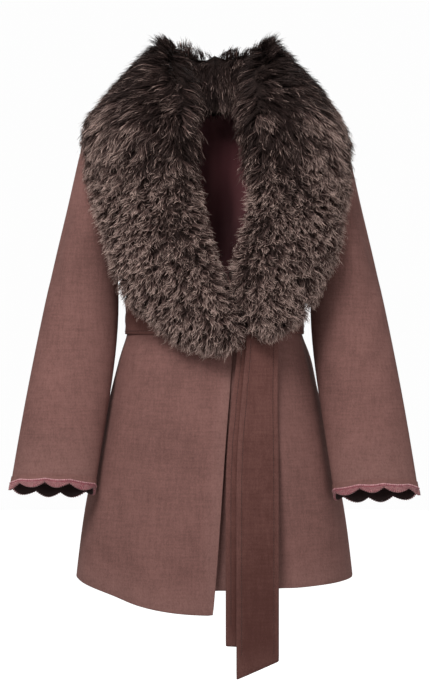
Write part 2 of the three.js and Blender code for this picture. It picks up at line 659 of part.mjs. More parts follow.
place('back', backPanel(BACK_COLUMNS), wool);
place('front_right', frontPanel(-1, RIGHT_EDGE, RIGHT_COLUMNS, HEM_DROP_RIGHT, true), wool);
place('front_left', frontPanel(1, LEFT_EDGE, LEFT_COLUMNS, HEM_DROP_LEFT, false), wool);
place('sleeve_right', sleeve(-1), wool);
place('sleeve_left', sleeve(1), wool);
place('cuff_edging_right', cuffEdging(-1), trim);
place('cuff_edging_left', cuffEdging(1), trim);
place('back_lining', backLining(BACK_COLUMNS), silk);
place('belt_band', beltBand(), belt);
place('belt_knot', largest(beltKnot()), belt);
for (const [name, tail] of Object.entries(TAILS)) place(name, largest(beltTail(tail)), belt);
place('collar_right', collarRight, fur);
place('collar_left', collarLeft, fur);

export default coat;
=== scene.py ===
"""A belted wool wrap coat with a deep fur collar, dressed around its solids."""

import math

import bmesh
import bpy
import numpy as np
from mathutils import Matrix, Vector, noise
from mathutils.bvhtree import BVHTree
from mathutils.kdtree import KDTree


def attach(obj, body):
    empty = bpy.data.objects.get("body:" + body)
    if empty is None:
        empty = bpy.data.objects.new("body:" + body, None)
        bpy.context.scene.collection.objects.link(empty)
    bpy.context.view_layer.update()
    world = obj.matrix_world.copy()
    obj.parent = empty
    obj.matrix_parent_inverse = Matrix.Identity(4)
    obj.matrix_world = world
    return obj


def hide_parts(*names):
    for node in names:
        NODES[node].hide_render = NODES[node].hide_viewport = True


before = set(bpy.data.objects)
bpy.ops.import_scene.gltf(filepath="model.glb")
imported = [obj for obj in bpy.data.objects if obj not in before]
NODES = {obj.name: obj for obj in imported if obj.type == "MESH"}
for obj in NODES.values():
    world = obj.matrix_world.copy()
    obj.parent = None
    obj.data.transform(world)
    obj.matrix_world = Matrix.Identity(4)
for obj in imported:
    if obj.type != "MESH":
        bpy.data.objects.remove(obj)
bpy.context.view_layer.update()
scene = bpy.context.scene

# Every size is in metres. Angles in the tables are in degrees.
WELD = 0.00005  # corners nearer than this are one corner
SEED = 20

# ---------------------------------------------------------------- studio
COAT_MIDDLE = (0.0, 0.0, -0.442)
CAMERA_PLACE = (0.0008, -3.0, -0.442)
CAMERA_AWAY = 3.0
VIEW_TALL = 1.1153
SENSOR = 36.0
FLOOR_LEVEL = -1.3
FLOOR_RADIUS = 7.0
# place, size and watts of each soft light
SOFT_LIGHTS = {
    "key": ((-0.65, -1.65, 1.25), 0.9, 52.0),
    "fill": ((2.1, -2.2, 0.1), 1.8, 12.0),
    "back": ((0.7, 2.2, 1.5), 1.5, 20.0),
}
STUDIO_GLOW = 0.43
GLOW_COLOUR = (1.0, 0.99, 0.98, 1)
PAPER_COLOUR = (0.985, 0.985, 0.985, 1)


def studio():
    """A camera level with the coat's middle, three soft lights and a pale floor far below."""
    camera = bpy.data.cameras.new("camera")
    camera.sensor_width = SENSOR
    camera.lens = SENSOR * CAMERA_AWAY / VIEW_TALL
    eye = bpy.data.objects.new("camera", camera)
    eye.location = CAMERA_PLACE
    eye.rotation_euler = (math.pi / 2, 0, 0)
    scene.collection.objects.link(eye)
    scene.camera = eye
    for name, (place, size, watts) in SOFT_LIGHTS.items():
        light = bpy.data.lights.new(name, "AREA")
        light.size = size
        light.energy = watts
        lamp = bpy.data.objects.new(name, light)
        lamp.location = place
        toward = Vector(COAT_MIDDLE) - Vector(place)
        lamp.rotation_euler = toward.to_track_quat("-Z", "Y").to_euler()
        scene.collection.objects.link(lamp)

    world = bpy.data.worlds.new("studio")
    world.use_nodes = True
    scene.world = world
    nodes, links = world.node_tree.nodes, world.node_tree.links
    glow = nodes["Background"]
    glow.inputs["Color"].default_value = GLOW_COLOUR
    glow.inputs["Strength"].default_value = STUDIO_GLOW
    paper = nodes.new("ShaderNodeBackground")
    paper.inputs["Color"].default_value = PAPER_COLOUR
    ray = nodes.new("ShaderNodeLightPath")
    choose = nodes.new("ShaderNodeMixShader")
    links.new(ray.outputs["Is Camera Ray"], choose.inputs[0])
    links.new(glow.outputs[0], choose.inputs[1])
    links.new(paper.outputs[0], choose.inputs[2])
    links.new(choose.outputs[0], nodes["World Output"].inputs["Surface"])
    scene.view_settings.view_transform = "Standard"

    bm = bmesh.new()
    bmesh.ops.create_circle(bm, cap_ends=True, segments=96, radius=FLOOR_RADIUS)
    bmesh.ops.translate(bm, vec=(0, 0, FLOOR_LEVEL), verts=bm.verts)
    piece_of(mesh_from(bm, "floor"), "floor", [paper_floor()])


# ---------------------------------------------------------------- materials
class Value:
    """A socket of a finish, so that sums on it are written as plain expressions."""

    def __init__(self, finish, socket):
        self.finish = finish
        self.socket = socket

    def sum(self, operation, *others):
        values = dict(enumerate(others))
        return self.finish.node("ShaderNodeMath", {"operation": operation}, values)

    def __add__(self, other):
        return self.sum("ADD", self, other)

    def __mul__(self, other):
        return self.sum("MULTIPLY", self, other)

    def __sub__(self, other):
        return self.sum("SUBTRACT", self, other)

    def __rsub__(self, other):
        return self.sum("SUBTRACT", other, self)

    __radd__ = __add__

    def between(self, low, high):
        """0 below low, 1 above high and a soft step from one to the other."""
        settings = {"interpolation_type": "SMOOTHSTEP"}
        values = {"Value": self, "From Min": low, "From Max": high}
        return self.finish.node("ShaderNodeMapRange", settings, values)


class Finish:
    """One material and the nodes that make it."""

    def __init__(self, name, **constants):
        self.material = bpy.data.materials.new(name)
        self.material.use_nodes = True
        self.tree = self.material.node_tree
        self.surface = self.tree.nodes["Principled BSDF"]
        for name, value in constants.items():
            self.surface.inputs[name.replace("_", " ")].default_value = value

    def node(self, kind, settings=None, values=None, output=0):
        """A node with its settings, then the values or links of its sockets."""
        node = self.tree.nodes.new(kind)
        for name, setting in (settings or {}).items():
            setattr(node, name, setting)
        for name, value in (values or {}).items():
            if isinstance(value, Value):
                self.tree.links.new(value.socket, node.inputs[name])
            else:
                node.inputs[name].default_value = value
        return Value(self, node.outputs[output])

    def place(self):
        """Object coordinates: the cloth's own place, in metres."""
        return self.node("ShaderNodeTexCoord", output="Object")

    def level(self):
        return self.node("ShaderNodeSeparateXYZ", None, {0: self.place()}, output="Z")

    def stretched(self, scale, turn=(0, 0, 0)):
        """Object coordinates, stretched for a pattern that runs one way."""
        values = {"Vector": self.place(), "Scale": scale, "Rotation": turn}
        return self.node("ShaderNodeMapping", None, values)

    def noise(self, scale, detail=2.0, roughness=0.5, vector=None):
        values = {"Scale": scale, "Detail": detail, "Roughness": roughness}
        values["Vector"] = vector or self.place()
        return self.node("ShaderNodeTexNoise", None, values)

    def mix(self, factor, one, other):
        """Two colours mixed: sockets 0, 6 and 7 are the factor and the colours."""
        colours = {6: one if isinstance(one, Value) else (*one, 1)}
        colours[7] = other if isinstance(other, Value) else (*other, 1)
        return self.node("ShaderNodeMix", {"data_type": "RGBA"}, {0: factor, **colours}, output=2)

    def colour(self, value):
        self.tree.links.new(value.socket, self.surface.inputs["Base Color"])

    def roughness(self, value):
        self.tree.links.new(value.socket, self.surface.inputs["Roughness"])

    def bump(self, height, distance, strength=1.0):
        values = {"Height": height, "Distance": distance, "Strength": strength}
        normal = self.node("ShaderNodeBump", None, values)
        self.tree.links.new(normal.socket, self.surface.inputs["Normal"])


WOOL_DARK = (0.110, 0.052, 0.0455)
WOOL_LIGHT = (0.228, 0.111, 0.097)
# paler colour of the sharp edges, also the sheen's tint: partly wear, partly painted highlight
WOOL_WEAR_AND_HIGHLIGHT = (0.270, 0.148, 0.130)
BELT_DARK = (0.072, 0.027, 0.022)
BELT_LIGHT = (0.152, 0.067, 0.057)
# the same for the belt: partly wear, partly painted highlight
BELT_WEAR_AND_HIGHLIGHT = (0.185, 0.090, 0.078)
BELT_THREAD = (0.066, 0.027, 0.0225)
# near-black sleeve lining: partly its own colour, partly painted shade inside the sleeves and cuffs
LINING_SHADE_DARK = (0.016, 0.007, 0.007)
LINING_SHADE_PALE = (0.030, 0.014, 0.013)
WINE_DARK = (0.080, 0.0205, 0.0250)
WINE_LIGHT = (0.176, 0.0570, 0.0630)
DOWN_DARK = (0.009, 0.0055, 0.0049)
DOWN_LIGHT = (0.030, 0.0196, 0.0172)
DOWN_PALE = (0.085, 0.0560, 0.0490)
FUR_ROOT = (0.012, 0.0070, 0.0062)
FUR_BROWN = (0.019, 0.0108, 0.0093)
FUR_GREY = (0.112, 0.0675, 0.0590)
FUR_TIP = (0.600, 0.436, 0.376)
THREAD_PINK = (0.640, 0.350, 0.360)
THREAD_ROSE = (0.250, 0.050, 0.072)
THREAD_MAUVE = (0.360, 0.170, 0.172)


def paper_floor():
    """Pale matt studio floor. Its glow is seen but lights nothing."""
    finish = Finish("studio_floor", Roughness=1.0, Emission_Strength=0.80)
    seen = finish.node("ShaderNodeLightPath", output="Is Camera Ray")
    glow = finish.mix(seen, (0, 0, 0), (1, 1, 1))
    finish.tree.links.new(glow.socket, finish.surface.inputs["Emission Color"])
    finish.colour(finish.mix(finish.noise(3.0), (0.62, 0.62, 0.62), (0.66, 0.66, 0.66)))
    return finish.material


def brushed_wool(name, dark, light, wear_and_highlight, sheen, foot_shade_levels=None):
    """Melton cloth: short fibres brushed down, in soft clouds, and a little paler along its edges, partly
    from wear and partly as a painted highlight. Its last argument, when given, holds two levels: going
    down from the higher to the lower, the colour turns darker, as painted shade for the weaker light low
    down."""
    finish = Finish(
        name,
        Specular_IOR_Level=0.14,
        Sheen_Weight=sheen,
        Sheen_Roughness=0.5,
        Sheen_Tint=(*wear_and_highlight, 1),
    )
    fibres = finish.noise(1100.0, 3.0, 0.65, finish.stretched((1, 1, 0.4)))
    tufts = finish.noise(420.0, 2.0, 0.5, finish.stretched((1, 1, 0.7)))
    streaks = finish.noise(240.0, 2.0, 0.5, finish.stretched((1, 1, 0.12)))
    weft = finish.noise(340.0, 2.0, 0.5, finish.stretched((0.10, 0.10, 1)))
    clouds = finish.noise(34.0, 3.0, 0.55)
    drifts = finish.noise(8.0, 2.0, 0.5)
    tone = fibres * 0.22 + tufts * 0.18 + streaks * 0.14 + weft * 0.14 + clouds * 0.14 + drifts * 0.18
    # painted shade: towards the foot the tone is lowered, so the colour darkens where less light falls
    if foot_shade_levels:
        tone = tone - (1.0 - finish.level().between(*foot_shade_levels)) * 0.12
    cloth = finish.mix(tone.between(0.30, 0.70), dark, light)
    rim = finish.node("ShaderNodeAttribute", {"attribute_name": "rim"}, output="Fac")
    # paler along the sharp edges: partly wear, partly a painted highlight where folded edges catch the
    # light
    finish.colour(finish.mix(rim * tufts * 0.5, cloth, wear_and_highlight))
    finish.roughness(0.82 + tufts * 0.16)
    finish.bump(fibres * 0.4 + tufts * 0.6, 0.0007, 0.4)
    return finish.material


def shaded_sleeve_lining():
    """Twill lining of the sleeves, near black: partly the lining's own colour and partly painted shade
    for the dark inside of the sleeves.
    """
    finish = Finish("sleeve_lining_painted_shade", Specular_IOR_Level=0.2)
    slant = finish.stretched((1, 1, 1), (0, 0.6, 0))
    twill = finish.node("ShaderNodeTexWave", None, {"Vector": slant, "Scale": 500.0})
    shade = finish.noise(60.0)
    finish.colour(finish.mix(shade, LINING_SHADE_DARK, LINING_SHADE_PALE))
    finish.roughness(0.55 + shade * 0.25)
    finish.bump(twill, 0.0002, 0.3)
    return finish.material


def wine_satin():
    """Satin of the back lining: wine red with long soft lights."""
    finish = Finish("wine_satin", Specular_IOR_Level=0.22)
    shimmer = finish.noise(22.0, 2.0, 0.5, finish.stretched((1, 1, 0.16)))
    threads = finish.noise(2200.0, 2.0, 0.5, finish.stretched((1, 1, 0.12)))
    finish.colour(finish.mix(shimmer.between(0.3, 0.7), WINE_DARK, WINE_LIGHT))
    finish.roughness(0.42 + threads * 0.2)
    finish.bump(threads * 0.3 + shimmer * 0.7, 0.0012, 0.5)
    return finish.material


def thread(name, colour):
    """Cotton crochet thread, two plies twisted."""
    finish = Finish(name, Specular_IOR_Level=0.2, Sheen_Weight=0.12)
    values = {"Vector": finish.place(), "Scale": 620.0, "Distortion": 3.0, "Detail": 1.0}
    plies = finish.node("ShaderNodeTexWave", {"bands_direction": "DIAGONAL"}, values)
    dye = finish.noise(260.0, 3.0, 0.6)
    deep = tuple(channel * 0.55 for channel in colour)
    pale = tuple(min(1.0, channel * 1.3) for channel in colour)
    finish.colour(finish.mix((plies * 0.4 + dye * 0.6).between(0.25, 0.75), deep, pale))
    finish.roughness(0.66 + dye * 0.25)
    finish.bump(plies, 0.0003, 0.6)
    return finish.material


def underfur():
    """The dense dark down at the hairs' roots."""
    finish = Finish("underfur", Specular_IOR_Level=0.06)
    down = finish.noise(420.0, 4.0, 0.7)
    patches = finish.noise(70.0, 3.0, 0.6)
    low = 1.0 - finish.level().between(-0.30, -0.06)
    light = finish.mix(low, DOWN_LIGHT, DOWN_PALE)
    finish.colour(finish.mix((down * patches * 2.0).between(0.2, 0.9), DOWN_DARK, light))
    finish.roughness(0.85 + down * 0.15)
    finish.bump(down * 0.5 + patches, 0.004, 0.9)
    return finish.material


HAIR_MAP = "OFBake"
MAP_UP = (0.02, 0.98)  # where on the map a hair's root and tip are
MAP_TONES = (0.01, 0.99)
MAP_HALF_WIDE = 0.004


def grizzled_hair():
    """Hair that is dark at its root and silvered at its tip: across the map lies each hair's
    own tone, and up it the way from root to tip."""
    finish = Finish("grizzled_hair", Specular_IOR_Level=0.12)
    spot = finish.node("ShaderNodeUVMap", {"uv_map": HAIR_MAP})
    tone = finish.node("ShaderNodeSeparateXYZ", None, {0: spot}, output="X")
    along = finish.node("ShaderNodeSeparateXYZ", None, {0: spot}, output="Y")
    body = finish.mix(tone.between(0.05, 0.75), FUR_BROWN, FUR_GREY)
    shaft = finish.mix(along.between(0.08, 0.50), FUR_ROOT, body)
    silver = along.between(0.58, 0.94) * tone.between(0.18, 0.94)
    finish.colour(finish.mix(silver, shaft, FUR_TIP))
    finish.roughness(0.66 - silver * 0.16)
    return finish.material


# ---------------------------------------------------------------- making pieces
def mesh_from(bm, name):
    mesh = bpy.data.meshes.new(name)
    bm.to_mesh(mesh)
    bm.free()
    return mesh


def piece_of(mesh, name, finishes):
    """A smooth-shaded object from a mesh, with its materials."""
    for material in finishes:
        mesh.materials.append(material)
    mesh.shade_smooth()
    made = bpy.data.objects.new(name, mesh)
    scene.collection.objects.link(made)
    return made


def dress(made, slot, *replaced):
    """The piece rides with the coat and stands for solids, which are hidden. slot is not used."""
    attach(made, "root")
    if replaced:
        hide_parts(*replaced)


def merged(node):
    """A solid's faces, welded at their corners."""
    bm = bmesh.new()
    bm.from_mesh(NODES[node].data)
    bmesh.ops.remove_doubles(bm, verts=bm.verts, dist=WELD)
    return bm


def modified(mesh, kind, **settings):
    """A new mesh: this one with one modifier applied."""
    draft = bpy.data.objects.new("draft", mesh)
    scene.collection.objects.link(draft)
    modifier = draft.modifiers.new("change", kind)
    for name, value in settings.items():
        setattr(modifier, name, value)
    seen = draft.evaluated_get(bpy.context.evaluated_depsgraph_get())
    result = bpy.data.meshes.new_from_object(seen)
    bpy.data.objects.remove(draft)
    return result


JOIN_FLAT = math.radians(30)  # two triangles are joined where they are nearly flat
JOIN_SQUARE = math.radians(50)  # and nearly square together
SHARP_EDGE = math.radians(38)
EDGE_FIRM = 0.7


def rounded(node, levels=2):
    """A solid as a smooth mesh: quads again where its triangles allow, and its sharp edges
    kept as firm as cloth keeps them, and marked as its rim."""
    bm = merged(node)
    bmesh.ops.join_triangles(
        bm, faces=bm.faces, angle_face_threshold=JOIN_FLAT, angle_shape_threshold=JOIN_SQUARE
    )
    crease_layer = bm.edges.layers.float.new("crease_edge")
    rim = bm.verts.layers.float.new("rim")
    for edge in bm.edges:
        if edge.calc_face_angle(0) > SHARP_EDGE:
            edge[crease_layer] = EDGE_FIRM
            for vert in edge.verts:
                vert[rim] = 1.0
    return modified(mesh_from(bm, node), "SUBSURF", levels=levels, render_levels=levels)


def corners(mesh):
    points = np.empty(len(mesh.vertices) * 3)
    mesh.vertices.foreach_get("co", points)
    return points.reshape(-1, 3)


def move_corners(mesh, points):
    mesh.vertices.foreach_set("co", points.ravel())
    mesh.update()


def unit(vectors):
    return vectors / np.maximum(np.linalg.norm(vectors, axis=-1, keepdims=True), 1e-9)


def read_off(marks, known, values):
    """Rows of values at the marks, from the rows at the known marks."""
    columns = [np.interp(marks, known, column) for column in values.T]
    return np.stack(columns, axis=1)


def stepped(values, low, high):
    """0 below low, 1 above high and a smooth step between."""
    share = np.clip((values - low) / (high - low), 0, 1)
    return share * share * (3 - 2 * share)


# ---------------------------------------------------------------- folds
UPRIGHT = np.array([(0, 0, -1.0), (0, 0, 0.0)])  # the middle of the body
SECTION_STEP = 0.02
FOLD_ENDS = 0.8  # how bluntly a fold runs out at its ends


def tube_middles(points):
    """The middle of a tube's section at each level, from the tube's own points."""
    low, high = points[:, 2].min(), points[:, 2].max()
    middles = []
    for level in np.arange(low + SECTION_STEP, high - SECTION_STEP, SECTION_STEP):
        near = points[np.abs(points[:, 2] - level) < SECTION_STEP]
        middles.append((near.min(axis=0) + near.max(axis=0)) / 2)
    return np.array(middles)


def beside(spots, line):
    """How far each spot is from a line, and how far along the line, from 0 to 1, it comes
    nearest."""
    line = np.array(line, float)
    steps = np.diff(line, axis=0)
    lengths = np.linalg.norm(steps, axis=1)
    starts = np.concatenate([[0], np.cumsum(lengths)])
    gap = np.full(len(spots), np.inf)
    along = np.zeros(len(spots))
    for start, step, length, before in zip(line, steps, lengths, starts):
        share = np.clip((spots - start) @ step / length**2, 0, 1)
        away = np.linalg.norm(spots - start - share[:, None] * step, axis=1)
        closer = away < gap
        gap[closer] = away[closer]
        along[closer] = (before + share[closer] * length) / starts[-1]
    return gap, along


def crease(points, middles, radius, folds):
    """Moves points in and out along soft folds. A fold's line is in degrees round the
    middle, 0 at the front and 90 on the wearer's left, and levels; its depth is negative
    for a trough."""
    out = unit(points[:, :2] - read_off(points[:, 2], middles[:, 2], middles[:, :2]))
    angle = np.degrees(np.arctan2(out[:, 0], -out[:, 1]))
    offset = np.zeros(len(points))
    for line, wide, deep in folds:
        line = np.array(line, float)
        turned = (angle - line[0, 0] + 180) % 360 - 180 + line[0, 0]
        spots = np.stack([np.radians(turned) * radius, points[:, 2]], axis=1)
        drawn = np.stack([np.radians(line[:, 0]) * radius, line[:, 1]], axis=1)
        gap, along = beside(spots, drawn)
        offset += deep * np.exp(-((gap / wide) ** 2)) * np.sin(np.pi * along) ** FOLD_ENDS
    moved = points.copy()
    moved[:, :2] += out * offset[:, None]
    return moved


def mirrored(folds):
    return [([(-angle, level) for angle, level in line], wide, deep) for line, wide, deep in folds]


BODY_RADIUS = 0.15
SLEEVE_RADIUS = 0.06
BELT_FOOT = -0.421
BELT_HEAD = -0.363
GATHER_EVERY = 13
# least and most of each gather: degrees it is turned and leans, then its sizes
GATHER_TURN = (-4, 4)
GATHER_LEAN = (-5, 5)
GATHER_BELOW = (0.06, 0.15)
GATHER_ABOVE = (0.04, 0.09)
GATHER_DEEP = (0.0012, 0.0030)
GATHER_WIDE = (0.006, 0.012)
GATHER_ABOVE_DEEP = 0.7  # above the belt it is shallower


def waist_gathers():
    """Short folds that the belt draws into the cloth, fanning out below it and above it."""
    folds = []
    dice = np.random.default_rng(SEED)
    for angle in range(-176, 184, GATHER_EVERY):
        turn = angle + dice.uniform(*GATHER_TURN)
        below = dice.uniform(*GATHER_BELOW)
        above = dice.uniform(*GATHER_ABOVE)
        lean = dice.uniform(*GATHER_LEAN)
        deep = dice.uniform(*GATHER_DEEP) * dice.choice([-1, 1])
        wide = dice.uniform(*GATHER_WIDE)
        high_deep = deep * GATHER_ABOVE_DEEP
        folds.append(([(turn, BELT_FOOT), (turn + lean, BELT_FOOT - below)], wide, deep))
        folds.append(([(turn, BELT_HEAD), (turn - lean, BELT_HEAD + above)], wide, high_deep))
    return folds


# line of (degrees, level), width, depth
BODY_FOLDS = waist_gathers() + [
    ([(24, -0.440), (25, -0.560), (27, -0.700)], 0.012, -0.0035),
    ([(39, -0.470), (43, -0.620), (46, -0.780)], 0.022, 0.0030),
    ([(-44, -0.450), (-50, -0.600), (-53, -0.770)], 0.024, 0.0028),
    ([(-27, -0.470), (-29, -0.590), (-30, -0.690)], 0.020, -0.0022),
    ([(68, -0.440), (76, -0.610), (80, -0.790)], 0.020, -0.0030),
    ([(-72, -0.450), (-78, -0.620), (-80, -0.790)], 0.020, -0.0030),
    ([(132, -0.430), (136, -0.600), (139, -0.790)], 0.022, -0.0040),
    ([(163, -0.440), (166, -0.590), (168, -0.740)], 0.018, 0.0032),
    ([(-141, -0.430), (-139, -0.610), (-136, -0.790)], 0.020, -0.0040),
    ([(-168, -0.450), (-171, -0.600), (-172, -0.760)], 0.020, -0.0034),
    ([(150, -0.190), (163, -0.260), (170, -0.345)], 0.014, -0.0030),
    ([(-152, -0.200), (-162, -0.270), (-170, -0.345)], 0.014, -0.0030),
    ([(120, -0.260), (135, -0.310), (148, -0.350)], 0.011, 0.0024),
    ([(-118, -0.250), (-133, -0.300), (-146, -0.350)], 0.011, 0.0024),
]
# where the left front goes under the right one it falls away from it
UNDERLAP_FOLDS = [([(3, -0.470), (4, -0.700), (4, -1.000)], 0.024, -0.0085)]
SLEEVE_FOLDS = [
    ([(20, -0.190), (50, -0.270), (72, -0.350)], 0.014, -0.0034),
    ([(-8, -0.250), (24, -0.330), (62, -0.390)], 0.012, 0.0028),
    ([(64, -0.300), (30, -0.372), (6, -0.400)], 0.010, -0.0031),
    ([(70, -0.360), (38, -0.418), (4, -0.448)], 0.012, 0.0032),
    ([(62, -0.420), (30, -0.466), (-4, -0.488)], 0.011, -0.0027),
    ([(46, -0.470), (40, -0.560), (36, -0.630)], 0.018, 0.0018),
    ([(8, -0.480), (10, -0.570), (14, -0.640)], 0.016, -0.0016),
    ([(150, -0.200), (132, -0.280), (118, -0.360)], 0.014, -0.0034),
    ([(172, -0.260), (150, -0.330), (122, -0.380)], 0.012, 0.0026),
    ([(160, -0.370), (140, -0.410), (112, -0.430)], 0.010, -0.0030),
    ([(166, -0.420), (146, -0.470), (120, -0.500)], 0.012, 0.0026),
    ([(140, -0.500), (144, -0.570), (146, -0.640)], 0.018, -0.0020),
]
# the band is drawn in lengthwise by its knot
BAND_FOLDS = [
    ([(-174, -0.378), (-120, -0.384), (-64, -0.380)], 0.006, -0.0010),
    ([(-150, -0.399), (-92, -0.395), (-30, -0.400)], 0.006, 0.0009),
    ([(-100, -0.407), (-48, -0.404), (-4, -0.408)], 0.005, -0.0008),
    ([(96, -0.382), (70, -0.386), (40, -0.392)], 0.006, -0.0011),
    ([(120, -0.400), (84, -0.402), (44, -0.398)], 0.005, 0.0009),
    ([(108, -0.392), (142, -0.388), (176, -0.394)], 0.006, -0.0010),
    ([(130, -0.372), (160, -0.376), (186, -0.372)], 0.006, 0.0008),
]
KNOT_FOLDS = [
    ([(22, -0.384), (34, -0.392), (48, -0.380)], 0.006, -0.0030),
    ([(20, -0.408), (32, -0.404), (46, -0.414)], 0.006, -0.0028),
    ([(30, -0.374), (33, -0.398), (31, -0.424)], 0.007, 0.0020),
]

# ---------------------------------------------------------------- cloth
# slot, flat width and length, flat area, how it is held and what carries it
CUTS = {
    "back": ("wool", (0.600, 0.840), 0.362, "hung", ["front_right", "front_left"]),
    "front_right": ("wool", (0.315, 0.880), 0.184, "hung", ["back"]),
    "front_left": ("wool", (0.350, 0.845), 0.184, "hung", ["back"]),
    "sleeve_right": ("wool", (0.410, 0.630), 0.179, "hung", ["back", "front_right"]),
    "sleeve_left": ("wool", (0.410, 0.640), 0.181, "hung", ["back", "front_left"]),
    "back_lining": ("lining", (0.340, 0.335), 0.088, "hung", ["back"]),
    "belt_band": ("belt", (0.800, 0.064), None, "gathered", ["back", "front_right", "front_left"]),
    "belt_knot": ("belt", (0.064, 0.076), None, "folded", ["belt_band"]),
    "belt_tail_front": ("belt", (0.064, 0.548), 0.0342, "hung", ["belt_knot"]),
    "belt_tail_back": ("belt", (0.064, 0.496), 0.0310, "hung", ["belt_knot"]),
}
LOOKS_IN = -0.2  # a face of a tube is inside when its look outward is less than this
SIDE_SEAM_NEAR = 0.0012  # edges sewn at a side seam lie this near the middle plane
SIDE_SEAM_TOP = -0.24
SIDE_SEAM_LEFT = 0.1  # share of its gap that is left


def cut(node, finishes, folds=(), levels=2):
    """One sewn piece of cloth: its solid made smooth, and creased round the body."""
    mesh = rounded(node, levels)
    move_corners(mesh, crease(corners(mesh), UPRIGHT, BODY_RADIUS, folds))
    return cloth_of(mesh, node, finishes)


def cloth_of(mesh, node, finishes):
    made = piece_of(mesh, f"{node}_cloth", finishes)
    dress(made, CUTS[node][0], node)
    return made


def line_inside(made, middles, index):
    """Gives the faces that look at a tube's middle another material."""
    level = middles[:, 2]
    for face in made.data.polygons:
        x, y, z = face.center
        out = np.array([x, y]) - [np.interp(z, level, middles[:, axis]) for axis in (0, 1)]
        if face.normal[0] * out[0] + face.normal[1] * out[1] < LOOKS_IN * np.linalg.norm(out):
            face.material_index = index


def close_side_seams(made):
    """Draws the edges of a panel at the side seams up to those of the next panel."""
    points = corners(made.data)
    sewn = (np.abs(points[:, 1]) < SIDE_SEAM_NEAR) & (points[:, 2] < SIDE_SEAM_TOP)
    points[sewn, 1] *= SIDE_SEAM_LEFT
    move_corners(made.data, points)


def body_panels(wool):
    for node in ("back", "front_right", "front_left"):
        folds = BODY_FOLDS + (UNDERLAP_FOLDS if node == "front_left" else [])
        panel = cut(node, [wool], folds)
        close_side_seams(panel)
    cut("back_lining", [wine_satin()], BODY_FOLDS)


def sleeve(side, folds, wool, lining, edging):
    node = f"sleeve_{side}"
    mesh = rounded(node)
    points = corners(mesh)
    middles = tube_middles(points)
    move_corners(mesh, crease(points, middles, SLEEVE_RADIUS, folds))
    made = cloth_of(mesh, node, [wool, lining])
    # the inside faces take the near-black lining, which also paints the shade inside the sleeve
    line_inside(made, middles, 1)


# ---------------------------------------------------------------- small stitches
STITCH_LONG = 0.0024
STITCH_EVERY = 0.0036
STITCH_THICK = 0.00055
STITCH_ROUND = 6
STITCH_RAISED = 0.3  # of its thickness
# share of the way along a stitch, and share of its thickness there
STITCH_SHAPE = ((-0.50, 0.35), (-0.32, 0.90), (0.0, 1.0), (0.32, 0.90), (0.50, 0.35))


def stitches(name, lines, finish):
    """Short straight stitches along lines on the cloth, as one mesh. A line is an array of
    points and one of the cloth's normals there."""
    around = np.arange(STITCH_ROUND) * (2 * np.pi / STITCH_ROUND)
    rings = len(STITCH_SHAPE)
    points, faces = [], []
    for places, normals in lines:
        reach = np.concatenate([[0], np.cumsum(np.linalg.norm(np.diff(places, axis=0), axis=1))])
        marks = np.arange(STITCH_EVERY / 2, reach[-1], STITCH_EVERY)
        middle = read_off(marks, reach, places)
        normal = unit(read_off(marks, reach, normals))
        way = unit(np.gradient(middle, axis=0))
        side = np.cross(way, normal)
        for centre, up, ahead, across in zip(middle, normal, way, side):
            start = len(points)
            for along, full in STITCH_SHAPE:
                hub = centre + ahead * STITCH_LONG * along + up * STITCH_THICK * STITCH_RAISED
                for turn in around:
                    spoke = across * math.cos(turn) + up * math.sin(turn)
                    points.append(hub + spoke * STITCH_THICK * full)
            for ring in range(rings - 1):
                for step in range(STITCH_ROUND):
                    a = start + ring * STITCH_ROUND + step
                    b = start + ring * STITCH_ROUND + (step + 1) % STITCH_ROUND
                    faces.append((a, b, b + STITCH_ROUND, a + STITCH_ROUND))
            faces.append(tuple(start + step for step in reversed(range(STITCH_ROUND))))
            end = start + (rings - 1) * STITCH_ROUND
            faces.append(tuple(end + step for step in range(STITCH_ROUND)))
    mesh = bpy.data.meshes.new(name)
    mesh.from_pydata(points, [], faces)
    made = piece_of(mesh, name, [finish])
    dress(made, "belt")
    return made


def on_cloth(made, starts, ways):
    """Where lines from starts first meet a piece, and its normals there."""
    bm = bmesh.new()
    bm.from_mesh(made.data)
    tree = BVHTree.FromBMesh(bm)
    bm.free()
    found = [tree.ray_cast(Vector(start), Vector(way)) for start, way in zip(starts, ways)]
    hits = [(hit[0], hit[1]) for hit in found if hit[0] is not None]
    return np.array([hit[0] for hit in hits]), np.array([hit[1] for hit in hits])


# ---------------------------------------------------------------- belt
SEAM_LEVEL = -0.4145  # the band's seam runs near its lower edge
TAIL_SEAM_IN = 0.008  # the tails are stitched this far inside their edges
TAIL_SEAM_FOOT = 0.036  # and end this far above their slanted tips
TAIL_SEAM_HEAD = 0.006
TAIL_SEAM_STEP = 0.012
TAIL_SEAM_BAND = 0.009  # a tail's edges are found within this of each level
BAND_SEAM_STEP = 1.5  # degrees
OUTSIDE = 0.4  # a start well outside the coat


def band_seam(band):
    turns = np.radians(np.arange(0, 361, BAND_SEAM_STEP))
    ways = np.stack([-np.sin(turns), np.cos(turns), np.zeros_like(turns)], axis=1)
    starts = -ways * OUTSIDE + (0, 0, SEAM_LEVEL)
    return on_cloth(band, starts, ways)


def tail_seams(tail):
    """The two seams beside a tail's edges, as lines on its front."""
    points = corners(tail.data)
    heights = points[:, 2]
    foot, head = heights.min() + TAIL_SEAM_FOOT, heights.max() - TAIL_SEAM_HEAD
    levels = np.arange(foot, head, TAIL_SEAM_STEP)
    rows = [points[np.abs(heights - level) < TAIL_SEAM_BAND, 0] for level in levels]
    right = [row.min() + TAIL_SEAM_IN for row in rows]
    left = [row.max() - TAIL_SEAM_IN for row in rows]
    lines = []
    for edge in (right, left):
        starts = np.stack([edge, np.full(len(levels), -OUTSIDE), levels], axis=1)
        lines.append(on_cloth(tail, starts, np.tile((0.0, 1.0, 0.0), (len(levels), 1))))
    return lines


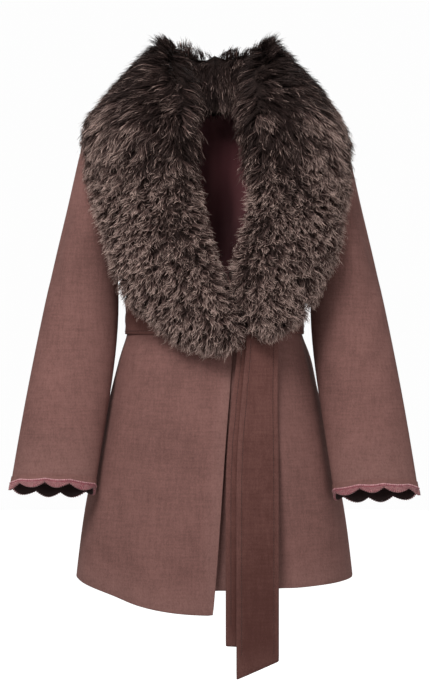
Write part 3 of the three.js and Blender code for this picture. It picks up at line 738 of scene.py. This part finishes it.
def belt():
    # the last pair of levels sets where painted shade darkens the belt's tails towards their foot
    cloth = brushed_wool("belt_wool", BELT_DARK, BELT_LIGHT, BELT_WEAR_AND_HIGHLIGHT, 0.30, (-0.86, -0.52))
    stitch_thread = thread("belt_thread", BELT_THREAD)
    band = cut("belt_band", [cloth], BAND_FOLDS)
    stitches("band_stitches", [band_seam(band)], stitch_thread)
    cut("belt_knot", [cloth], KNOT_FOLDS, levels=3)
    for node in ("belt_tail_front", "belt_tail_back"):
        tail = cut(node, [cloth])
        stitches(f"{node}_stitches", tail_seams(tail), stitch_thread)


# ---------------------------------------------------------------- cuff edging
# The foot of the right sleeve, where its edging is worked on: its middle, the way to its
# outer end, half its depth, the swing that drops its back, and the way the sleeve runs.
CUFF_MIDDLE = np.array((-0.25025, -0.0810, -0.6480))
CUFF_ACROSS = np.array((-0.06625, 0.0, 0.0020))
CUFF_DEEP = 0.036
CUFF_SWING = math.radians(17)
CUFF_WAY = np.array((-0.141, -0.239, -0.961))
LEFT_ARM_LOW = 0.008
SCALLOPS = 8
SCALLOP_DEEP = 0.008
SHELL_RIBS = 12  # of one scallop
CHAIN_STITCHES = 112  # round one cuff
DEEP_SHARE = 0.42  # of a rib or a chain stitch lies deep and is coloured the darker rose
ROUND_STEPS = 80 * SCALLOPS
SCALLOP_START = 0.25  # of a scallop, where the round begins
EDGING_WALL = 0.0028
EDGING_OUT = 0.0005
# rows of the wool strip above the edging: how far up, and how far sunk in the sleeve
WOOL_ROWS = ((0.0050, 0.0016), (0.0034, 0.0001), (0.0, 0.0))
CHAIN_DOWN = 0.0036  # where the chain begins, and lower in a scallop's middle
CHAIN_SWAY = 0.0020
CHAIN_TALL = 0.0023
CHAIN_ROWS = 5
CHAIN_OUT = 0.0017
LOOP_LEAST = 0.3  # of a chain stitch's height, between two stitches
ROSE_TALL = 0.0013
ROSE_ROWS = 2
ROSE_OUT = 0.0003
SHELL_DOWN = 0.0096  # the least that a shell's foot is down
SHELL_ROWS = 8
SHELL_SUNK = 0.0006
RIB_OUT = 0.0017
RIB_FAN = 0.45  # the ribs' spread at their top, as a share of that at the foot
PICOT_TALL = 0.0010
INSIDE_UP = 0.0012
# the last finish, DARK, is the near-black sleeve lining, used as painted shade inside the cuff
WOOL, PINK, ROSE, MAUVE, DARK = range(5)  # the edging's finishes, in their order


def cuff_ring(share):
    """Points and normals round the right sleeve's foot."""
    half = np.linalg.norm(CUFF_ACROSS)
    across = CUFF_ACROSS / half
    fore = np.array((0, -math.cos(CUFF_SWING), math.sin(CUFF_SWING)))
    even = 2 * np.pi * share
    turn = even + (half - CUFF_DEEP) / (half + CUFF_DEEP) / 2 * np.sin(2 * even)
    c, f = np.cos(turn)[:, None], np.sin(turn)[:, None]
    normals = unit(across * c / half + fore * f / CUFF_DEEP)
    return CUFF_MIDDLE + across * half * c + fore * CUFF_DEEP * f, normals


def edging_rows(share):
    """The edging from its top outside, round its foot, to its top inside: how far down and
    how far out of the cloth each row lies, and the material of the strip below it."""
    across = (SCALLOPS * share + SCALLOP_START) % 1
    wave = np.sin(np.pi * across)
    chain = CHAIN_DOWN + CHAIN_SWAY * wave
    rose = chain + CHAIN_TALL
    shell = rose + ROSE_TALL
    picot = np.abs(np.sin(SHELL_RIBS * np.pi * across))
    foot = SHELL_DOWN + SCALLOP_DEEP * wave + PICOT_TALL * picot
    loop = np.abs(np.sin(np.pi * CHAIN_STITCHES * share))
    loop_tall = LOOP_LEAST + (1 - LOOP_LEAST) * loop
    chain_look = np.where(loop < DEEP_SHARE, ROSE, PINK)
    flat = np.full_like(share, EDGING_OUT)
    rows = [(np.full_like(share, -up), flat - sunk, WOOL) for up, sunk in WOOL_ROWS]
    for step in range(CHAIN_ROWS):
        way = step / CHAIN_ROWS
        out = flat + CHAIN_OUT * math.sin(math.pi * way) * loop_tall
        rows.append((chain + (rose - chain) * way, out, chain_look))
    for step in range(ROSE_ROWS):
        rows.append((rose + (shell - rose) * step / ROSE_ROWS, flat + ROSE_OUT, ROSE))
    for step in range(SHELL_ROWS + 1):
        way = step / SHELL_ROWS
        fan = (across - 0.5) / (RIB_FAN + (1 - RIB_FAN) * way)
        rib = np.abs(np.sin(SHELL_RIBS * np.pi * (fan + 0.5)))
        look = np.where(rib < DEEP_SHARE, ROSE, MAUVE)
        rows.append((shell + (foot - shell) * way, flat - SHELL_SUNK + RIB_OUT * rib, look))
    inside = flat - EDGING_WALL
    # inside its foot the edging takes the near-black lining: painted shade over the thread where the
    # cuff's inside lies in shadow
    rows += [(foot, inside, DARK), (foot * 0.5, inside, DARK)]
    rows.append((np.full_like(share, -INSIDE_UP), inside, WOOL))
    return rows


def crochet(side, finishes):
    """The scalloped edging of one cuff: a chain, a rose line and ribbed shells."""
    share = np.arange(ROUND_STEPS) / ROUND_STEPS
    ring, normals = cuff_ring(share)
    rows = edging_rows(share)
    points = [ring + normals * out[:, None] + CUFF_WAY * down[:, None] for down, out, _ in rows]
    points = np.concatenate(points)
    if side == "left":
        points = points * (-1, 1, 1) - (0, 0, LEFT_ARM_LOW)
    count = len(rows)
    faces, looks = [], []
    for row in range(count):
        row_look = np.broadcast_to(rows[row][2], share.shape)
        below = (row + 1) % count
        for step in range(ROUND_STEPS):
            ahead = (step + 1) % ROUND_STEPS
            corner = (
                row * ROUND_STEPS + step,
                below * ROUND_STEPS + step,
                below * ROUND_STEPS + ahead,
                row * ROUND_STEPS + ahead,
            )
            faces.append(corner[::-1] if side == "right" else corner)
            looks.append(int(row_look[step]))
    mesh = bpy.data.meshes.new("edging")
    mesh.from_pydata(points, [], faces)
    mesh.polygons.foreach_set("material_index", looks)
    made = piece_of(mesh, f"cuff_edging_{side}_crochet", finishes)
    dress(made, "edging", f"cuff_edging_{side}")
    return made


def sleeves(wool):
    # the near-black lining: its own colour and painted shade inside the sleeves
    lining = shaded_sleeve_lining()
    pink, rose = thread("edging_pink", THREAD_PINK), thread("edging_rose", THREAD_ROSE)
    # the near-black lining comes last, as painted shade on the edging's inside
    finishes = [wool, pink, rose, thread("edging_mauve", THREAD_MAUVE), lining]
    for side, folds in (("right", mirrored(SLEEVE_FOLDS)), ("left", SLEEVE_FOLDS)):
        sleeve(side, folds, wool, lining, crochet(side, finishes))


# ---------------------------------------------------------------- fur
# The line that the collar rolls over, from the centre back round the neck to the lapel's tip.
RIGHT_ROLL = [
    (0.000, 0.058, 0.042), (-0.052, 0.048, 0.050), (-0.070, 0.020, 0.052), (-0.076, -0.012, 0.050),
    (-0.068, -0.062, 0.033), (-0.052, -0.142, -0.078), (-0.052, -0.165, -0.155), (-0.040, -0.172, -0.228),
    (-0.020, -0.172, -0.302), (0.010, -0.167, -0.366), (0.034, -0.158, -0.418), (0.032, -0.144, -0.446),
]
LEFT_ROLL = [
    (0.000, 0.058, 0.042), (0.052, 0.048, 0.050), (0.074, 0.020, 0.052), (0.082, -0.012, 0.050),
    (0.076, -0.062, 0.033), (0.066, -0.142, -0.080), (0.074, -0.164, -0.160), (0.076, -0.168, -0.226),
    (0.058, -0.166, -0.296), (0.048, -0.161, -0.348), (0.052, -0.153, -0.403), (0.072, -0.142, -0.433),
]
SKIN_GRAIN = 0.006  # the even skin's face size
SKIN_OUT = 0.0026  # it starts this far out, so that thin edges keep their skin
SWELL = 0.0034  # the pelt's soft lumps
SWELL_WIDE = 0.032
PELT_DEEP = 0.016  # how far the leather lies below the hairs' tips
PELT_SHARE = 0.38  # but at most this share of the collar's thickness
PELT_SEAM = 0.002  # and this where the collar's two halves meet
JUST_INSIDE = 0.0005
CENTRE_SEAM = 0.009  # the halves are drawn together this near the centre back
CENTRE_LEFT = 0.02  # share of their gap that is left
SKIN_SMOOTHINGS = 3
DEPTH_SOFTENINGS = 4
HAIR_STEPS = 5
HAIR_TAPER = np.array([0.55, 0.95, 1.0, 0.85, 0.6, 0.0])  # of its width, root to tip
HAIR_HALF_WIDE = 0.00043
HAIRS_A_SIDE = 38500
LOCK_GAP = (0.0090, 0.0054)  # between locks round the neck, and on the lapel
LOCK_LONG = (0.034, 0.015)
TUFT_HIGH = 0.016  # how far tufts stand off the roll
CREST_THICK = 2.2  # how much thicker the hair grows there
COVERED = 0.010  # fur that lies this near the cloth or the other half has no hair
COVER_FROM = 0.004  # cover is looked for from this far under the skin
SEAM_FROM = 0.003  # and the other half from this far under it
SEAM_REACH = COVERED + 0.006
STRAY = 0.12  # share of the hairs that leave their lock
PARTING = 0.012  # the hair turns over within this of the roll
LAPEL_BEGINS = (0.30, 0.55)  # shares of the roll
LAPEL_ENDS = (0.30, 0.42)  # how far down the hair turns to hang
# how much of its lie is outward, along the roll and down: round the neck, and added on lapels
LIE_OUTWARD = (1.0, -0.60)
LIE_ALONG = (0.15, 0.55)
LIE_DOWN = (0.40, 0.35)
LIE_LOWEST = 0.8
CREST_LEVELS = (0.0, 0.036)  # tufts stand up where the roll is this high
CREST_WIDE = (0.002, 0.016)
# silver: the least, then how much more at places, with the distances where each comes in
SILVER_LEAST = 0.11
SILVER_LOW = (0.42, 0.10, 0.25)
SILVER_LOWEST = (0.14, 0.24, 0.38)
SILVER_HIGH = (0.27, -0.06, 0.03)  # so much less
SILVER_OUTER = (0.34, 0.035, 0.100)
SILVER_INNER = (0.18, 0.004, 0.030)
SILVER_PATCHED = 0.46  # more or less, in patches
PATCHES = 30  # a metre
# locks
LOCK_SEEDS = 14000
LOWER = (0.08, 0.22)  # how far down the short curled locks begin
LOCK_VARIES = (0.75, 1.25)
LOCK_BEND = (12, 14)  # degrees, round the neck and added low down
LOCK_TONES = 0.13
TUFTS_EVEN = 0.6  # below 1 it makes more of the tufts tall
TUFT_SHORT = 0.55  # share that a tuft's locks are shorter
# the hairs of a lock; pairs are as in graded, or least and most
SHARPEST = 0.35  # a hair that turns by more than this cosine at one step is left out
SPARKLING = 0.13  # share with a bright tip
SPARKLE = 0.55  # how much brighter
HOLD = (0.25, 0.74)  # how far a hair's tip is drawn to its lock
HOLD_CURVE = 0.8
RISE = 0.0022
STRAY_RISE = 0.0045
TUFT_VARIES = (0.5, 1.05)
ROOT_CURVE = 1.5
TIP_CURVE = 1.4
HAIR_SUNK = 0.0034  # under the even skin, which lies a little outside the collar's form
CURL = (0.0018, 0.0015)
CURL_VARIES = (0.5, 1.4)
CURL_TURNS = (0.85, 0.2)
CURL_PHASES = 0.55
LOOSE = (0.16, 0.05)
LOOSE_TUFTS = 0.30
REACH = (0.7, 1.15)
FREE = (0.10, 0.20)  # share of its way that is straight
HAIR_LEAN = 0.6
WIDE_VARIES = (0.6, 1.5)
HAIR_TONES = 0.16


def by_centre_seam(vert):
    return abs(vert.co.x) < CENTRE_SEAM and vert.co.y > 0


def graded(pair, lower):
    """A value round the neck, and what is added to it low on the lapels."""
    return pair[0] + pair[1] * lower


def even_skin(node):
    """The collar's form as a bmesh of even, smooth faces with soft lumps."""
    full = modified(mesh_from(merged(node), node), "DISPLACE", strength=SKIN_OUT, mid_level=0.0)
    mesh = modified(full, "REMESH", mode="VOXEL", voxel_size=SKIN_GRAIN)
    skin = bmesh.new()
    skin.from_mesh(mesh)
    every_way = {"use_axis_x": True, "use_axis_y": True, "use_axis_z": True}
    for _ in range(SKIN_SMOOTHINGS):
        bmesh.ops.smooth_vert(skin, verts=skin.verts, factor=0.5, **every_way)
    skin.normal_update()
    for vert in skin.verts:
        vert.co += vert.normal * SWELL * noise.noise(vert.co / SWELL_WIDE)
        if by_centre_seam(vert):
            vert.co.x *= CENTRE_LEFT
    bmesh.ops.triangulate(skin, faces=skin.faces)
    skin.normal_update()
    skin.verts.ensure_lookup_table()
    return skin


def cloth_tree(names):
    """One search tree over the given solids, to find what lies close."""
    bm = bmesh.new()
    for name in names:
        bm.from_mesh(NODES[name].data)
    tree = BVHTree.FromBMesh(bm)
    bm.free()
    return tree


def softened(skin, deep):
    """Depths at the corners, each drawn halfway to the mean of those beside it."""
    soft = {}
    for vert in skin.verts:
        beside_it = sum(deep[edge.other_vert(vert)] for edge in vert.link_edges)
        soft[vert] = (deep[vert] + beside_it / len(vert.link_edges)) / 2
    return soft


def leather_depths(skin, other_half):
    """How far below the tips the leather lies at each corner: less where the collar is thin
    or meets its other half."""
    tree = BVHTree.FromBMesh(skin)
    deep = {}
    for vert in skin.verts:
        inward = -vert.normal
        hit = tree.ray_cast(vert.co + inward * JUST_INSIDE, inward)
        deep[vert] = min(PELT_DEEP, PELT_SHARE * (hit[3] or 0.0))
        meets = other_half.ray_cast(vert.co + inward * SEAM_FROM, vert.normal, SEAM_REACH)
        if meets[0] is not None or by_centre_seam(vert):
            deep[vert] = PELT_SEAM
    for _ in range(DEPTH_SOFTENINGS):
        deep = softened(skin, deep)
    return np.array([deep[vert] for vert in skin.verts])


def tangent(vectors, normals):
    return vectors - normals * np.sum(vectors * normals, axis=1, keepdims=True)


def search(points):
    """A function that gives the number of the point nearest to each place."""
    finder = KDTree(len(points))
    for index, point in enumerate(points):
        finder.insert(point, index)
    finder.balance()
    return lambda places: np.array([finder.find(place)[1] for place in places])


def spaced(points, gaps):
    """The first points that keep their own gap from those before them."""
    kept = []
    places = np.empty_like(points)
    for index, (point, gap) in enumerate(zip(points, gaps)):
        count = len(kept)
        if count and np.min(np.sum((places[:count] - point) ** 2, axis=1)) < gap * gap:
            continue
        places[count] = point
        kept.append(index)
    return np.array(kept)


class Pelt:
    """One half of the collar: its smooth skin, how the hair lies over it and where it grows."""

    def __init__(self, side, turn, roll, others):
        self.side = side
        self.skin = even_skin(f"collar_{side}")
        self.points = np.array([vert.co for vert in self.skin.verts])
        self.normals = np.array([vert.normal for vert in self.skin.verts])
        at_seam = np.array([by_centre_seam(vert) for vert in self.skin.verts])
        self.normals[at_seam, 0] = 0
        self.normals = unit(self.normals)
        self.faces = np.array([[vert.index for vert in face.verts] for face in self.skin.faces])
        self.nearest = search(self.points)
        other_half = "collar_left" if side == "right" else "collar_right"
        self.deep = leather_depths(self.skin, cloth_tree([other_half]))
        self.areas = self.open_areas(cloth_tree([*others, other_half]))
        self.lie(turn, np.array(roll))
        middles = self.faces[:, 0]
        self.areas *= 1 + CREST_THICK * crest_share(self.points[middles], self.out[middles])

    def open_areas(self, tree):
        """The area of each face, and none where the cloth or the other half covers it."""
        a, b, c = (self.points[self.faces[:, corner]] for corner in range(3))
        looks = np.cross(b - a, c - a)
        areas = np.linalg.norm(looks, axis=1) / 2
        for index, (middle, look) in enumerate(zip((a + b + c) / 3, unit(looks))):
            start, reach = Vector(middle - look * COVER_FROM), COVERED + COVER_FROM
            if tree.ray_cast(start, Vector(look), reach)[0] is not None:
                areas[index] = 0
        return areas

    def lie(self, turn, roll):
        """The way the hair lies: away from the roll on both its sides, and down along the
        lapels. out is how far each corner is beyond the roll."""
        _, share = beside(self.points, roll)
        lengths = np.linalg.norm(np.diff(roll, axis=0), axis=1)
        marks = np.concatenate([[0], np.cumsum(lengths)]) / lengths.sum()
        ways = np.gradient(roll, axis=0)
        foot, way = read_off(share, marks, roll), unit(read_off(share, marks, ways))
        outward = unit(np.cross(way, self.normals)) * turn
        self.out = np.sum((self.points - foot) * outward, axis=1)
        away = np.clip(self.out / PARTING + 1.0, -1, 1)[:, None]
        lapel = stepped(share, *LAPEL_BEGINS)[:, None]
        low = stepped(-self.points[:, 2], *LAPEL_ENDS)[:, None]
        down = tangent(np.array([[0, 0, -1.0]]), self.normals)
        flow = (
            outward * away * graded(LIE_OUTWARD, lapel)
            + tangent(way, self.normals) * graded(LIE_ALONG, lapel)
            + down * (graded(LIE_DOWN, lapel) + LIE_LOWEST * low)
        )
        self.flow = unit(tangent(flow, self.normals))

    def spots(self, count, dice):
        """Random places where hair grows, and how deep the leather is there."""
        chosen = dice.choice(len(self.faces), size=count, p=self.areas / self.areas.sum())
        one, two = np.sqrt(dice.random(count)), dice.random(count)
        weights = np.stack([1 - one, one * (1 - two), one * two], axis=1)
        corner = self.faces[chosen]
        places = np.einsum("nk,nkc->nc", weights, self.points[corner])
        return places, np.sum(weights * self.deep[corner], axis=1)

    def leather(self, finish):
        """The leather with its down, which stands for the collar's solid."""
        for vert, depth in zip(self.skin.verts, self.deep):
            shift = vert.normal * float(depth)
            if by_centre_seam(vert):
                shift.x = 0
            vert.co -= shift
        made = piece_of(mesh_from(self.skin, "pelt"), f"pelt_{self.side}", [finish])
        dress(made, "fur", f"collar_{self.side}")


def crest_share(places, out):
    """1 along the top of the roll round the neck, and 0 a little way from it."""
    return stepped(places[:, 2], *CREST_LEVELS) * (1 - stepped(np.abs(out), *CREST_WIDE))


def silvering(places, out):
    """How silvered the hair is: dark round the neck and beside the roll's upper part, and
    light on the low lapels, the outer edges and the inner edge."""
    level = places[:, 2]
    low = SILVER_LOW[0] * stepped(-level, *SILVER_LOW[1:])
    low += SILVER_LOWEST[0] * stepped(-level, *SILVER_LOWEST[1:])
    high = stepped(level, *SILVER_HIGH[1:])
    outer = stepped(out, *SILVER_OUTER[1:]) * (1 - high)
    inner = stepped(-out, *SILVER_INNER[1:]) * (1 - high)
    edges = SILVER_OUTER[0] * outer, SILVER_INNER[0] * inner
    patches = np.array([noise.noise(Vector(place) * PATCHES) for place in places])
    silver = SILVER_LEAST + low + edges[0] + edges[1] - SILVER_HIGH[0] * high
    return silver + SILVER_PATCHED * patches


class Locks:
    """The locks of a pelt: each one's way over the skin, its length and its silvering."""

    def __init__(self, pelt, dice):
        seeds, _ = pelt.spots(LOCK_SEEDS, dice)
        lower = stepped(-seeds[:, 2], *LOWER)
        kept = spaced(seeds, LOCK_GAP[0] + (LOCK_GAP[1] - LOCK_GAP[0]) * lower)
        self.seeds, self.lower = seeds[kept], lower[kept]
        count = len(self.seeds)
        longest = LOCK_LONG[0] + (LOCK_LONG[1] - LOCK_LONG[0]) * self.lower
        near = pelt.nearest(self.seeds)
        crest = crest_share(self.seeds, pelt.out[near])
        self.lift = crest * dice.random(count) ** TUFTS_EVEN * TUFT_HIGH
        self.length = longest * dice.uniform(*LOCK_VARIES, count) * (1 - TUFT_SHORT * crest)
        self.phase = dice.random(count) * 2 * np.pi
        self.tone = silvering(self.seeds, pelt.out[near]) + dice.normal(0, LOCK_TONES, count)
        self.walk(pelt, np.radians(dice.normal(0, graded(LOCK_BEND, self.lower))))

    def walk(self, pelt, bend):
        """Leads each lock over the skin, turned a little from the way the hair lies."""
        shape = (len(self.seeds), HAIR_STEPS + 1, 3)
        self.way, self.up, self.run = np.empty(shape), np.empty(shape), np.empty(shape)
        place = self.seeds.copy()
        for step in range(HAIR_STEPS + 1):
            near = pelt.nearest(place)
            normal = pelt.normals[near]
            place = place - normal * np.sum((place - pelt.points[near]) * normal, axis=1, keepdims=True)
            ahead = unit(tangent(pelt.flow[near], normal))
            across = np.cross(normal, ahead)
            ahead = ahead * np.cos(bend)[:, None] + across * np.sin(bend)[:, None]
            self.way[:, step], self.up[:, step], self.run[:, step] = place, normal, ahead
            place = place + ahead * (self.length / HAIR_STEPS)[:, None]


def hair_paths(locks, lock, roots, sunk, dice):
    """The points of every hair, from its root in the leather to its tip: it follows its
    lock, strays a little, lifts off the skin and curls."""
    count = len(roots)
    down = locks.lower[lock]
    share = np.linspace(0, 1, HAIR_STEPS + 1)[None, :]
    stray = dice.random(count) < STRAY
    hold = np.where(stray, 0.0, dice.uniform(*HOLD, count))[:, None]
    rise = np.abs(dice.normal(0.0, RISE, count)) + np.where(stray, STRAY_RISE, 0)
    rise += locks.lift[lock] * dice.uniform(*TUFT_VARIES, count)
    from_root = -sunk[:, None] * (1 - share) ** ROOT_CURVE
    height = from_root + rise[:, None] * share**TIP_CURVE - HAIR_SUNK
    curl = graded(CURL, down) * dice.uniform(*CURL_VARIES, count)
    phase = locks.phase[lock] + dice.normal(0, CURL_PHASES, count)
    angle = 2 * np.pi * graded(CURL_TURNS, down)[:, None] * share + phase[:, None]
    swing = curl[:, None] * share
    loose = graded(LOOSE, down) + LOOSE_TUFTS * locks.lift[lock] / TUFT_HIGH
    wander = dice.normal(0, loose) * locks.length[lock]
    up, run, way = locks.up[lock], locks.run[lock], locks.way[lock]
    across = np.cross(up, run)
    reach = dice.uniform(*REACH, count)[:, None, None]
    base = way[:, :1]
    over = way - base
    straight = run[:, :1] * (locks.length[lock][:, None] * share)[:, :, None]
    free = graded(FREE, down)[:, None, None]
    return (
        base
        + (over * (1 - free) + straight * free) * reach
        + (roots - locks.seeds[lock])[:, None, :] * (1 - hold * share**HOLD_CURVE)[:, :, None]
        + up * (height + swing * np.sin(angle))[:, :, None]
        + across * (swing * np.cos(angle) + wander[:, None] * share)[:, :, None]
    ), up


def ribbons(paths, sides, wide):
    """Corners and triangles of flat hairs that end in a point. paths holds each hair's
    points, sides the way it is wide and wide its half width at each point."""
    hairs, steps, _ = paths.shape
    half = sides[:, :-1] * wide[:, :-1, None]
    pairs = np.stack([paths[:, :-1] - half, paths[:, :-1] + half], axis=2).reshape(hairs, -1, 3)
    points = np.concatenate([pairs, paths[:, -1:]], axis=1)
    each = 2 * (steps - 1) + 1
    faces = []
    for step in range(steps - 2):
        a, b, c, d = 2 * step, 2 * step + 1, 2 * step + 3, 2 * step + 2
        faces += [(a, b, c), (a, c, d)]
    faces.append((each - 3, each - 2, each - 1))
    starts = np.arange(hairs)[:, None, None] * each
    return points.reshape(-1, 3), (np.array(faces)[None] + starts).reshape(-1, 3), each


def hair_mesh(name, paths, sides, wide, tones):
    """Hairs as one mesh, mapped by tone and by the way along each hair."""
    points, faces, each = ribbons(paths, sides, wide)
    mesh = bpy.data.meshes.new(name)
    mesh.from_pydata(points, [], faces)
    steps = paths.shape[1]
    up = np.linspace(*MAP_UP, steps)
    across = np.concatenate([np.tile([-1.0, 1.0], steps - 1), [0.0]])
    spots = np.empty((len(tones), each, 2))
    spots[:, :, 0] = np.clip(tones, *MAP_TONES)[:, None] + across[None] * MAP_HALF_WIDE
    spots[:, :, 1] = np.concatenate([np.repeat(up[:-1], 2), up[-1:]])[None]
    layer = mesh.uv_layers.new(name=HAIR_MAP)
    layer.data.foreach_set("uv", spots.reshape(-1, 2)[faces.ravel()].ravel())
    mesh.update()
    return mesh


def fur(side, turn, roll, others, down, hair):
    """One half of the collar: the leather with its down, and two pieces of hair."""
    dice = np.random.default_rng(SEED + turn)
    pelt = Pelt(side, turn, roll, others)
    locks = Locks(pelt, dice)
    roots, sunk = pelt.spots(HAIRS_A_SIDE, dice)
    lock = search(locks.seeds)(roots)
    paths, up = hair_paths(locks, lock, roots, sunk, dice)

    steps = unit(np.diff(paths, axis=1))
    smooth = np.min(np.sum(steps[:, 1:] * steps[:, :-1], axis=2), axis=1) > SHARPEST
    roots, lock, paths, up = roots[smooth], lock[smooth], paths[smooth], up[smooth]

    count = len(roots)
    lie = unit(np.gradient(paths, axis=1))
    flat = unit(np.cross(lie, up))
    lean = dice.normal(0, HAIR_LEAN, count)[:, None, None]
    sides = flat * np.cos(lean) + np.cross(flat, lie) * np.sin(lean)
    wide = HAIR_HALF_WIDE * dice.uniform(*WIDE_VARIES, count)[:, None] * HAIR_TAPER[None]
    lower = locks.lower[lock]
    sparkling = dice.random(count) < SPARKLING * (0.5 + 0.5 * lower)
    sparkle = np.where(sparkling, SPARKLE, 0)
    tones = locks.tone[lock] + dice.normal(0.0, HAIR_TONES, count) + sparkle

    middle = np.median(roots[:, 2])
    for part, chosen in (("neck", roots[:, 2] > middle), ("lapel", roots[:, 2] <= middle)):
        name = f"fur_{part}_{side}"
        mesh = hair_mesh(name, paths[chosen], sides[chosen], wide[chosen], tones[chosen])
        dress(piece_of(mesh, name, [hair]), "fur")
    pelt.leather(down)


# ---------------------------------------------------------------- the coat
COAT = ("back", "front_right", "front_left", "sleeve_right", "sleeve_left", "belt_band")

studio()
wool = brushed_wool("brushed_wool", WOOL_DARK, WOOL_LIGHT, WOOL_WEAR_AND_HIGHLIGHT, 0.14)
body_panels(wool)
sleeves(wool)
belt()
down, hair = underfur(), grizzled_hair()
fur("right", 1, RIGHT_ROLL, COAT, down, hair)
fur("left", -1, LEFT_ROLL, COAT, down, hair)
